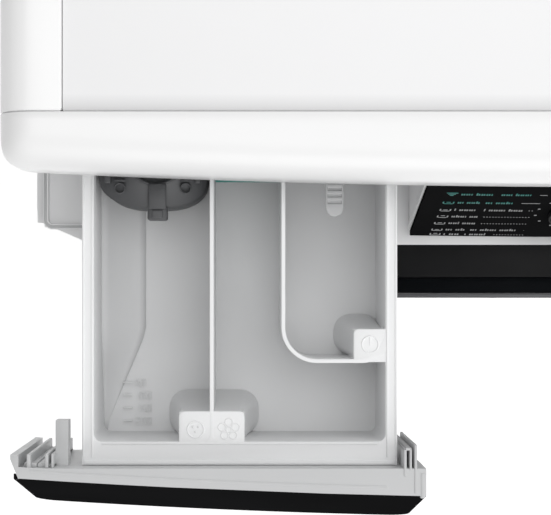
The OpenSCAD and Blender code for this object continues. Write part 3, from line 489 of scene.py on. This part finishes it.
def buildTray():
    width = trayHigh.x - trayLow.x
    length = trayHigh.y - trayLow.y
    body = soften("drawer_tray", 0.0011, segments=3)
    body.name = "drawer_tray_body"
    bm = bmesh.new()
    # beads along the rims' outer and inner edges
    for x in (0.0002, tray["rim"] - 0.0014, width - tray["rim"] + 0.0004, width - 0.0012):
        trayBox(bm, x, 0.004, -0.0006, x + tray["bead"], length - 0.002, 0.0006, 0.0003)
    # the step along the front shelf
    trayBox(bm, 0.001, 0.0005, -0.0008, width - 0.001, 0.0026, 0.0007, 0.0004)
    trayBox(bm, tray["rim"] + 0.004, tray["shelf"] - 0.0016, -0.0004, width - tray["rim"] - 0.004,
            tray["shelf"] - 0.0006, 0.0005, 0.0003)
    # plates over the two pillars
    left = tray["rim"] + tray["wash"] - tray["tabIn"]
    inner = width - tray["rim"]
    near, far = tray["shelf"], tray["prewashFront"]
    roundedPlate(bm, left, near - 0.005, left + tray["tab"], near + 0.0155, -0.0016, -0.00005, 0.003, 0.0006)
    roundedPlate(bm, inner - 0.0163, far + 0.0004, inner + 0.0035, far + 0.0174, -0.0016, -0.00005, 0.0025,
                 0.0006)
    link(bm, "drawer_tray_rims", "drawerPlastic", "drawer")
    low = -(trayHigh.z - trayLow.z) + tray["wall"] + tray["film"]
    bm = bmesh.new()
    flare(bm, left, near - 0.002, left + tray["tab"], near + 0.0153, low, -0.0006, 0.0075, ("front",))
    flare(bm, inner - 0.0161, far + 0.0020, inner + 0.002, far + 0.0172, low, -0.0006, 0.0070,
          ("front", "right"))
    link(bm, "drawer_tray_pillars", "drawerPlastic", "drawer")
    # a bank rises from the wash floor to the left wall, and is cut back at the front
    bm = bmesh.new()
    x0 = tray["rim"] + tray["film"]
    along, across = 24, 6
    rows = []
    for k in range(along + 1):
        y = tray["bankFrom"] + tray["bankLong"] * k / along
        foot = x0 + min(tray["bankReach"], max(0.0015, (y - tray["bankFrom"]) * tray["bankCut"]))
        rise = tray["bankRise"] * (foot - x0) / tray["bankReach"]
        row = []
        for j in range(across + 1):
            t = j / across
            row.append(bm.verts.new(trayAt(x0 + (foot - x0) * t, y, low + rise * (1 - t) ** 1.5)))
        rows.append(row)
    for row, after in zip(rows, rows[1:]):
        for j in range(across):
            bm.faces.new((row[j], row[j + 1], after[j + 1], after[j]))
    bmesh.ops.recalc_face_normals(bm, faces=bm.faces)
    bank = link(bm, "wash_bank", "drawerPlastic", "drawer")
    thick = bank.modifiers.new("thickness", "SOLIDIFY")
    thick.thickness = 0.0006
    thick.offset = -1.0
    return low


def ringMark(bm, centre, radius, wire):
    piece = bmesh.new()
    start = centre + Vector((radius, 0, 0))
    circle = bmesh.ops.create_circle(piece, cap_ends=False, segments=8, radius=wire)["verts"]
    bmesh.ops.rotate(piece, verts=circle, cent=(0, 0, 0), matrix=Matrix.Rotation(math.pi / 2, 3, "X"))
    bmesh.ops.translate(piece, vec=start, verts=circle)
    bmesh.ops.spin(piece, geom=list(piece.verts) + list(piece.edges), cent=centre, axis=(0, 0, 1),
                   angle=math.tau, steps=28, use_merge=True)
    bmesh.ops.remove_doubles(piece, verts=piece.verts, dist=0.000002)
    merge(bm, piece)


# which of the seven strokes each digit uses: top, middle, foot, then the four sides
digitStrokes = {
    0: (0, 2, 3, 4, 5, 6), 1: (4, 6), 2: (0, 1, 2, 4, 5), 5: (0, 1, 2, 3, 6),
}


def strokes(bm, digit, x, y, z):
    wide, tall, half = 0.0018, 0.0036, 0.000175
    lines = (
        (0, tall, wide, tall), (0, tall / 2, wide, tall / 2), (0, 0, wide, 0),
        (0, tall / 2, 0, tall), (wide, tall / 2, wide, tall), (0, 0, 0, tall / 2), (wide, 0, wide, tall / 2),
    )
    for index in digitStrokes[digit]:
        x0, y0, x1, y1 = lines[index]
        trayBox(bm, x + x0 - half, y + y0 - half, z - 0.0003,
                x + x1 + half, y + y1 + half, z + 0.0003, 0.0001)


def buildMarks(floor):
    bm = bmesh.new()
    high = -0.0001
    left = tray["rim"] + tray["wash"] - 0.0160
    middle = tray["shelf"] + 0.0062
    # a ring with three drops in it, for the main wash
    bowlAt = trayAt(left + 0.0088, middle, high)
    ringMark(bm, bowlAt, 0.0042, 0.00045)
    for x, y in ((-0.0014, 0.0014), (0.0014, 0.0014), (0.0, -0.0012)):
        disc(bm, 0.0006, 0.0007, Matrix.Translation(bowlAt + Vector((x, y, 0))), segments=12)
    # five petals round a middle, for the softener
    bloomAt = trayAt(left + 0.0258, middle, high)
    ringMark(bm, bloomAt, 0.0014, 0.0004)
    for i in range(5):
        angle = math.tau * i / 5 + math.pi / 2
        ringMark(bm, bloomAt + Vector((math.cos(angle), math.sin(angle), 0)) * 0.0037, 0.0019, 0.0004)
    # a ring with one bar, for the prewash
    width = trayHigh.x - trayLow.x
    preAt = trayAt(width - tray["rim"] - 0.0078, tray["prewashFront"] + 0.0094, high)
    ringMark(bm, preAt, 0.0042, 0.00045)
    box(bm, preAt + Vector((-0.0004, -0.0006, -0.0004)), preAt + Vector((0.0004, 0.0042, 0.0004)), 0.0002)
    # level lines on the wash floor, each with its amount
    for i, amount in enumerate((200, 150, 100, 50)):
        y = 0.0175 + 0.0070 * i
        step = floor + 0.0012 + 0.0003 * i
        trayBox(bm, 0.0165, y, step, 0.0215, y + 0.0009, step + 0.0009, 0.0002)
        x = 0.0235
        for digit in str(amount):
            strokes(bm, int(digit), x, y - 0.0016, step + 0.0004)
            x += 0.0032
    link(bm, "drawer_marks", "drawerPlastic", "drawer")


buildMarks(buildTray())
print("tray done")


# liquid insert
insert = {"side": 0.0285, "bulge": 0.017, "clip": 0.0046, "clipAt": 0.0024}


def buildInsert():
    low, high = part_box("liquid_insert")
    middle = (low.x + high.x) / 2
    nose = low.y + 0.0070
    outline = []
    steps = 36
    for i in range(steps + 1):
        x = -insert["side"] + 2 * insert["side"] * i / steps
        across = abs(x / insert["side"])
        outline.append((middle + x, nose + insert["bulge"] * (1 - (1 - across ** 2.7) ** (1 / 2.2))))
    outline += [(middle + insert["side"], high.y), (middle - insert["side"], high.y)]
    bm = bmesh.new()
    face = bm.faces.new([bm.verts.new((x, y, high.z)) for x, y in outline])
    face.normal_update()
    if face.normal.z < 0:
        face.normal_flip()
    # a rim round a shallow dished top
    for thick, depth in ((0.0012, 0.0), (0.0008, -0.0010), (0.0050, -0.0008)):
        bmesh.ops.inset_region(bm, faces=[face], thickness=thick, depth=depth)
    foot = [e for e in bm.edges if e.is_boundary]
    made = bmesh.ops.extrude_edge_only(bm, edges=foot)["geom"]
    lower = [v for v in made if isinstance(v, bmesh.types.BMVert)]
    bmesh.ops.translate(bm, vec=(0, 0, low.z - high.z), verts=lower)
    bmesh.ops.recalc_face_normals(bm, faces=bm.faces)
    # the finger clip hooks over the nose
    at = middle + insert["clipAt"]
    clip = insert["clip"]
    box(bm, (at - clip, nose - 0.0012, high.z - 0.0008), (at + clip, nose + 0.0120, high.z + 0.0010), 0.0008)
    box(bm, (at - clip - 0.0006, low.y, high.z - 0.0085),
        (at + clip + 0.0006, nose + 0.0006, high.z - 0.0010), 0.0014)
    box(bm, (at - clip + 0.0018, low.y + 0.0012, high.z - 0.0020),
        (at + clip - 0.0018, nose - 0.0016, high.z + 0.0002), 0.0006)
    # a raised ring behind the clip and a mark and a lug on each side
    ringMark(bm, Vector((middle + 0.0015, nose + 0.0270, high.z - 0.0010)), 0.0155, 0.0009)
    for side in (-1, 1):
        ringMark(bm, Vector((middle + side * 0.0170, nose + 0.0095, high.z - 0.0012)), 0.0026, 0.00045)
        box(bm, (middle + side * 0.0170 - 0.0028, nose + 0.0130, high.z - 0.0022),
            (middle + side * 0.0170 + 0.0028, nose + 0.0142, high.z - 0.0008), 0.0004)
        box(bm, (middle + side * 0.0232 - 0.0016, nose + 0.0120, high.z - 0.0030),
            (middle + side * 0.0232 + 0.0016, nose + 0.0180, high.z + 0.0006), 0.0007)
    link(bm, "liquid_insert_body", "insertPlastic", "insert", ["liquid_insert"])


buildInsert()


def buildSiphonCap():
    low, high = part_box("siphon_cap")
    tubeX, tubeY = low.x + 0.0155, low.y + 0.037
    bm = bmesh.new()
    box(bm, (low.x, low.y + 0.0016, high.z - 0.004), (high.x, high.y, high.z), 0.0008)
    disc(bm, 0.0060, 0.040, Matrix.Translation((tubeX, tubeY, high.z - 0.024)), 0.0006, 32)
    disc(bm, 0.0100, 0.0016, Matrix.Translation((tubeX, tubeY, high.z + 0.0006)), 0.0005, 40)
    for k in range(3):
        box(bm, (low.x + 0.004, low.y + 0.010 + 0.004 * k, high.z - 0.0002),
            (high.x - 0.004, low.y + 0.0115 + 0.004 * k, high.z + 0.0006), 0.0003)
    link(bm, "siphon_cap_body", "tealPlastic", "siphon", ["siphon_cap"])


buildSiphonCap()


# drawer front's carrier
carrier = {
    "left": drawerLow.x - 0.004, "right": drawerHigh.x, "back": trayLow.y - 0.0002,
    "low": drawerLow.z, "high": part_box("drawer_front")[1].z,
    "plate": 0.0042,        # the plate behind the lens
    "end": 0.0095,          # how far the left end stands back from the lens
}


def buildCarrier():
    body = soften("drawer_front", 0.0008, segments=3)
    c = carrier
    # the left end stands back from the lens and swells outwards behind it
    for vertex in body.data.vertices:
        outer = vertex.co.x < c["left"] + 0.001
        if outer or (vertex.co.x < c["left"] + c["plate"] and vertex.co.z < c["high"] - 0.002):
            ahead = c["end"] if outer else c["plate"]
            face = lensPlace(vertex.co.x, vertex.co.z, front["pulled"]).translation.y
            vertex.co.y = max(vertex.co.y, face + ahead)
    bm = bmesh.new()

    def rib(x0, y0, x1, y1, drop=0.0, bevel=0.0005, foot=0.004):
        lo = (c["left"] + x0, c["back"] + y0, c["low"] + foot)
        hi = (c["left"] + x1, c["back"] + y1, c["high"] - drop)
        box(bm, lo, hi, bevel)

    # ribs and a slit block behind the left end
    rib(0.0080, -0.0030, 0.0100, 0.0070, 0.0010)
    rib(0.0060, 0.0000, 0.0125, 0.0022, 0.0060)
    rib(0.0170, 0.0000, 0.0188, 0.0072, 0.0020)
    rib(0.0202, 0.0000, 0.0214, 0.0072, 0.0020)
    rib(0.0128, 0.0000, 0.0214, 0.0018, 0.0060)
    # the clip tower and its long blade at the right end
    right = c["right"] - c["left"]
    rib(right - 0.0113, -0.0040, right - 0.0098, 0.0105, -0.0004)
    rib(right - 0.0113, 0.0090, right - 0.0072, 0.0105, -0.0004)
    rib(right - 0.0084, -0.0010, right - 0.0072, 0.0105, -0.0004)
    rib(right - 0.0060, -0.0125, right - 0.0046, 0.0120, -0.0004, foot=0.020)
    rib(right - 0.0030, -0.0150, right - 0.0004, -0.0020, -0.0003, 0.0008, 0.030)
    link(bm, "drawer_front_ribs", "fasciaPlastic", "drawer")
    # a swelling along the carrier's head
    bm = bmesh.new()
    path = []
    steps = 40
    for k in range(steps + 1):
        x = c["left"] + 0.010 + (right - 0.030) * k / steps
        path.append((x, front["edge"] + front["headBack"] + c["plate"] + bow(x) - front["pulled"]))
    section = ((-0.0010, -0.0002), (-0.0005, 0.0002), (0.0, 0.0003), (0.0005, 0.0002), (0.0010, -0.0002))
    rows = [[bm.verts.new((x, y + dy, c["high"] + dz)) for x, y in path] for dy, dz in section]
    for low, high in zip(rows, rows[1:]):
        for k in range(steps):
            bm.faces.new((low[k], low[k + 1], high[k + 1], high[k]))
    link(bm, "drawer_front_bead", "fasciaPlastic", "drawer")


buildCarrier()
print("drawer done")


# the drawer's own piece of lens, rounded at its two lower corners
drawerLens = {"corner": 0.011, "thick": 0.0028, "spread": 0.0025, "turns": 10, "across": 60, "up": 8}


def buildDrawerLens():
    d = drawerLens
    x0, x1 = drawerLow.x - d["spread"], drawerHigh.x
    r = d["corner"]
    ends = [r * (1 - math.cos(math.pi / 2 * k / d["turns"])) for k in range(d["turns"] + 1)]
    xs = [x0 + e for e in ends]
    xs += [x0 + r + (x1 - x0 - 2 * r) * k / d["across"] for k in range(1, d["across"])]
    xs += [x1 - e for e in reversed(ends)]
    bm = bmesh.new()
    sheets = []
    for back in (0.0, d["thick"]):
        sheet = []
        for x in xs:
            near = min(x - x0, x1 - x)
            lift = r - math.sqrt(max(0.0, r * r - max(0.0, r - near) ** 2))
            column = []
            for j in range(d["up"] + 1):
                z = front["foot"] + lift + (drawerHigh.z - front["foot"] - lift) * j / d["up"]
                point = lensPlace(x, z, front["pulled"]).translation
                column.append(bm.verts.new((point.x, point.y + back, point.z)))
            sheet.append(column)
        sheets.append(sheet)
    near, far = sheets
    count = len(xs)
    for i in range(count - 1):
        for j in range(d["up"]):
            bm.faces.new((near[i][j], near[i + 1][j], near[i + 1][j + 1], near[i][j + 1]))
            bm.faces.new((far[i][j], far[i][j + 1], far[i + 1][j + 1], far[i + 1][j]))
        bm.faces.new((near[i][0], far[i][0], far[i + 1][0], near[i + 1][0]))
        bm.faces.new((near[i][-1], near[i + 1][-1], far[i + 1][-1], far[i][-1]))
    for i in (0, count - 1):
        for j in range(d["up"]):
            bm.faces.new((near[i][j], near[i][j + 1], far[i][j + 1], far[i][j]))
    bmesh.ops.recalc_face_normals(bm, faces=bm.faces)
    obj = link(bm, "drawer_lens_panel", "blackGloss", "drawer", ["drawer_lens"])
    roundEdges(obj, 0.0004, 2, 50)


buildDrawerLens()


# printed marks on the lens
ink = {
    "start": 0.0790,                        # where each row starts, from the knob's middle
    "end": 0.0300,                          # where its leader line ends
    "letter": 0.0024, "capital": 0.0036,    # heights
    "pitch": 2.6,                           # millimetres from letter to letter, about
    "gap": 0.0026,                          # between words
    "dots": 16, "ringWide": 0.0275, "ringHigh": 0.0268,
    "digits": (-0.020, -0.006, 0.010),      # places on the display
}


def buildPrint():
    white, teal = bmesh.new(), bmesh.new()

    def bar(bm, x0, x1, z, high, thick=0.00016):
        middle = (x0 + x1) / 2
        piece = bmesh.new()
        bmesh.ops.create_cube(piece, size=1.0)
        bmesh.ops.scale(piece, vec=(x1 - x0, high, thick), verts=piece.verts)
        corners = [e for e in piece.edges if abs(e.verts[0].co.z - e.verts[1].co.z) > 1e-6]
        bmesh.ops.bevel(piece, geom=corners, offset=min(high, x1 - x0) * 0.45, offset_type="OFFSET",
                        segments=3, profile=0.5, affect="EDGES", material=-1)
        bmesh.ops.transform(piece, matrix=lensPlace(middle, z), verts=piece.verts)
        merge(bm, piece)

    def dot(bm, x, z, radius):
        disc(bm, radius, 0.00016, lensPlace(x, z), segments=16)

    rows = (  # height under the lens's head, then the words' lengths in millimetres
        (17.0, (18.0, 17.0)), (30.0, (12.0, 16.0)), (42.0, (13.0, 21.0)), (53.0, (14.5,)), (64.5, (15.0,)),
        (76.0, (11.0, 27.0)), (84.2, (9.0, 13.5)),
    )
    leaders = (0.010, 0.006, 0.002, 0.0, 0.002, 0.006, 0.010)
    for side in (-1, 1):
        for i, (down, words) in enumerate(rows):
            z = front["head"] - down * 0.001
            rowInk = teal if i < 2 else white
            x = -ink["start"]

            def stroke(x0, x1, up, tall, colour=None):
                ends = sorted((side * x0, side * x1))
                bar(colour or rowInk, ends[0], ends[1], z + up, tall)

            # an icon: a fan of bars for the first row, and a tub for the others
            if i == 0:
                for k in range(3):
                    stroke(x + 0.0010 * k, x + 0.0060 - 0.0010 * k, 0.0020 - 0.0018 * k, 0.0009)
            else:
                stroke(x, x + 0.0007, 0.0, 0.0028)
                stroke(x + 0.0053, x + 0.0060, 0.0, 0.0028)
                stroke(x + 0.0006, x + 0.0054, -0.0018, 0.0007)
                stroke(x + 0.0018, x + 0.0042, 0.0012 - 0.0006 * (i % 3), 0.0007)
            x += 0.0078
            for word in words:
                letters = max(3, round(word / ink["pitch"]))
                step = word * 0.001 / letters
                for k in range(letters):
                    tall = ink["capital"] if (k * 7 + i * 3) % 5 == 1 else ink["letter"]
                    thin = step * (0.22 if (k * 5 + i) % 4 == 2 else 0.30)
                    stroke(x + step * k, x + step * k + thin, (tall - ink["letter"]) / 2, tall)
                    if (k * 5 + i) % 4 != 2:
                        stroke(x + step * (k + 0.45), x + step * (k + 0.74), 0.0, ink["letter"])
                x += word * 0.001 + ink["gap"]
            # a leader line runs on towards the knob
            end = -ink["end"] + leaders[i] * 0.3
            if i in (0, 1, 5):
                stroke(x, end, 0.0, 0.0006, white)
            else:
                while x < end:
                    stroke(x, x + 0.0007, 0.0, 0.0008, white)
                    x += 0.0016
    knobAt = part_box("program_knob")
    knobZ = (knobAt[0].z + knobAt[1].z) / 2 - 0.002
    for i in range(ink["dots"]):
        angle = math.tau * (i + 0.5) / ink["dots"]
        dot(white, ink["ringWide"] * math.sin(angle), knobZ + ink["ringHigh"] * math.cos(angle), 0.0008)
    # strokes of a clock on the display and a mark by each button
    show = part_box("display_window")
    middle, level = (show[0].x + show[1].x) / 2, (show[0].z + show[1].z) / 2
    for digit in ink["digits"]:
        for high in (-0.0055, 0.0, 0.0055):
            bar(teal, middle + digit - 0.0035, middle + digit + 0.0035, level + high, 0.0011, 0.0006)
        bar(teal, middle + digit + 0.0036, middle + digit + 0.0047, level + 0.0028, 0.0050, 0.0006)
        bar(teal, middle + digit + 0.0036, middle + digit + 0.0047, level - 0.0028, 0.0050, 0.0006)
    for node in ("power_button", "start_button", "option_button"):
        low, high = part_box(node)
        x = (low.x + high.x) / 2
        bar(white, x - 0.006, x + 0.006, high.z + 0.004, 0.0010)
    link(white, "lens_print_white", "inkWhite", "cabinet")
    link(teal, "lens_print_teal", "inkTeal", "cabinet")


buildPrint()


# knob
def buildKnob():
    low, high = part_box("program_knob")
    z = (low.z + high.z) / 2 - 0.002
    base = lensPlace(0, z)
    bm = bmesh.new()
    ribs = 60
    for i in range(ribs):
        angle = math.tau * i / ribs
        place = base @ Matrix.Rotation(angle, 4, "Z") @ Matrix.Translation((0.0190, 0, 0.0100))
        box(bm, (-0.0006, -0.0004, -0.0062), (0.0006, 0.0004, 0.0062), 0.0002, 1, place)
    box(bm, (-0.0008, 0.006, 0.0172), (0.0008, 0.0165, 0.0182), 0.0003, 2, base)
    link(bm, "knob_grip", "blackSatin", "knob")
    bm = bmesh.new()
    box(bm, (-0.0005, 0.008, 0.0180), (0.0005, 0.0155, 0.0184), 0.0002, 2, base)
    link(bm, "knob_pointer", "inkWhite", "knob")


buildKnob()
print("controls done")


# the recess in the fascia that takes the drawer front's left end
recess = {
    "left": -0.2955, "ahead": 0.0153, "long": 0.040, "corner": 0.0055, "turns": 10,
    # the rim's section from the outside in: inset and height over the lens's foot
    "section": ((0.0, -0.0070), (0.0, -0.0014), (0.0006, -0.0006), (0.0022, -0.0006),
                (0.0028, -0.0012), (0.0032, -0.0030), (0.0050, -0.0042), (0.0080, -0.0046)),
}


def buildRecess():
    shelf = lensLow.z
    left, right, near = recess["left"], trayLow.x - 0.004, front["edge"] - recess["ahead"]
    far = near + recess["long"]
    bm = bmesh.new()
    turns, r = recess["turns"], recess["corner"]
    sections = recess["section"]
    rings = []
    for inset, drop in sections:
        corner = max(0.0008, r - inset)
        ring = [bm.verts.new((right, near + inset, shelf + drop))]
        for j in range(turns + 1):
            angle = math.pi / 2 * (3 - j / turns)
            ring.append(bm.verts.new((left + inset + corner + corner * math.cos(angle),
                                      near + inset + corner + corner * math.sin(angle), shelf + drop)))
        ring.append(bm.verts.new((left + inset, far, shelf + drop)))
        rings.append(ring)
    for outer, inner in zip(rings, rings[1:]):
        for j in range(len(outer) - 1):
            bm.faces.new((outer[j], outer[j + 1], inner[j + 1], inner[j]))
    bm.faces.new(rings[-1] + [bm.verts.new((right, far, shelf + sections[-1][1]))])
    bmesh.ops.recalc_face_normals(bm, faces=bm.faces)
    rim = link(bm, "fascia_recess", "fasciaPlastic", "cabinet")
    thick = rim.modifiers.new("thickness", "SOLIDIFY")
    thick.thickness = 0.0008
    thick.offset = -1.0


buildRecess()


# back: transit bolt caps, screws and pressed ribs
rear = {
    "capsX": (-0.130, 0.130), "capsZ": (0.250, 0.640), "cap": 0.018,
    "screw": 0.0042, "screwHigh": 0.0022, "edgeScrews": 6, "coverScrews": 8, "coverRing": 0.172,
    "ribs": (0.130, 0.700), "louvres": 9, "louvrePitch": 0.012,
}


def buildBack():
    low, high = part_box("rear_panel")
    face = high.y
    turned = Matrix.Rotation(-math.pi / 2, 4, "X")
    bm = bmesh.new()
    for x in rear["capsX"]:
        for z in rear["capsZ"]:
            disc(bm, rear["cap"], 0.004, Matrix.Translation((x, face + 0.0021, z)) @ turned, 0.0012, 40)
            box(bm, (x - 0.010, face + 0.0036, z - 0.0012), (x + 0.010, face + 0.0058, z + 0.0012), 0.0006)
    link(bm, "transit_bolt_caps", "basePlastic", "cabinet")
    bm = bmesh.new()

    def screw(x, y, z):
        disc(bm, rear["screw"], rear["screwHigh"], Matrix.Translation((x, y, z)) @ turned, 0.0009, 24)

    for x in (low.x + 0.014, high.x - 0.014):
        for k in range(rear["edgeScrews"]):
            z = low.z + 0.03 + k * (high.z - low.z - 0.06) / (rear["edgeScrews"] - 1)
            screw(x, face + 0.0011, z)
    centre = (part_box("rear_cover")[0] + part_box("rear_cover")[1]) / 2
    ring = rear["coverRing"]
    for k in range(rear["coverScrews"]):
        angle = math.tau * (k + 0.5) / rear["coverScrews"]
        screw(centre.x + ring * math.cos(angle), face + 0.0033, centre.z + ring * math.sin(angle))
    link(bm, "back_screws", "brushedSteel", "cabinet")
    bm = bmesh.new()
    for z in rear["ribs"]:
        box(bm, (-0.200, face - 0.0004, z - 0.006), (0.140, face + 0.0014, z + 0.006), 0.0008)
    for k in range(rear["louvres"]):
        foot = 0.105 + rear["louvrePitch"] * k
        box(bm, (0.160, face - 0.0004, foot), (0.250, face + 0.0010, foot + 0.004), 0.0004)
    link(bm, "back_ribs", "galvanised", "cabinet")


buildBack()
print("casing done")


# floor, light and camera
def buildStage():
    bm = bmesh.new()
    bmesh.ops.create_grid(bm, x_segments=1, y_segments=1, size=6.0)
    mesh = bpy.data.meshes.new("floor")
    bm.to_mesh(mesh)
    bm.free()
    floor = bpy.data.objects.new("floor", mesh)
    scene.collection.objects.link(floor)
    made = Finish("floorPaint")
    mottle = made.ramp(made.noise(3.0), 0.3, 0.7)
    made.set("Base Color", made.mix(mottle, (0.90, 0.90, 0.90, 1), (0.93, 0.93, 0.93, 1)))
    made.shader.inputs["Roughness"].default_value = 0.9
    made.shader.inputs["Emission Color"].default_value = (1, 1, 1, 1)
    made.shader.inputs["Emission Strength"].default_value = 0.40
    floor.data.materials.append(made.material)


def addLight(name, place, target, size, power):
    light = bpy.data.lights.new(name, "AREA")
    light.shape = "SQUARE"
    light.size = size
    light.energy = power
    obj = bpy.data.objects.new(name, light)
    obj.location = place
    obj.rotation_euler = (Vector(target) - Vector(place)).to_track_quat("-Z", "Y").to_euler()
    scene.collection.objects.link(obj)


def buildLight():
    world = bpy.data.worlds.new("studio")
    world.use_nodes = True
    sky = world.node_tree.nodes["Background"]
    sky.inputs["Color"].default_value = (1, 1, 1, 1)
    sky.inputs["Strength"].default_value = 0.36
    scene.world = world
    addLight("overhead", (0.3, 0.2, 3.0), (0, -0.1, 0.7), 2.4, 27)
    addLight("front", (0.2, -2.6, 2.0), (0, -0.2, 0.7), 1.8, 27)
    addLight("right", (2.4, -0.6, 1.6), (0, -0.1, 0.6), 1.6, 12)
    addLight("behind", (0.8, 2.6, 2.0), (0, 0.2, 0.5), 2.0, 18)


camera = {
    "above": 0.683,       # height over the worktop
    "across": -0.1815,    # from the machine's middle
    "ahead": 0.0521,      # ahead of the worktop's front edge
    "lens": 94.7, "shiftX": 0.0535, "shiftY": 0.0626,
}


def buildCamera():
    data = bpy.data.cameras.new("camera")
    data.lens = camera["lens"]
    data.sensor_width = 36.0
    data.shift_x, data.shift_y = camera["shiftX"], camera["shiftY"]
    data.clip_start = 0.05
    obj = bpy.data.objects.new("camera", data)
    obj.location = (camera["across"], trimLow.y - camera["ahead"], trimHigh.z + camera["above"])
    scene.collection.objects.link(obj)
    scene.camera = obj


buildStage()
buildLight()
buildCamera()
scene.view_settings.view_transform = "Standard"
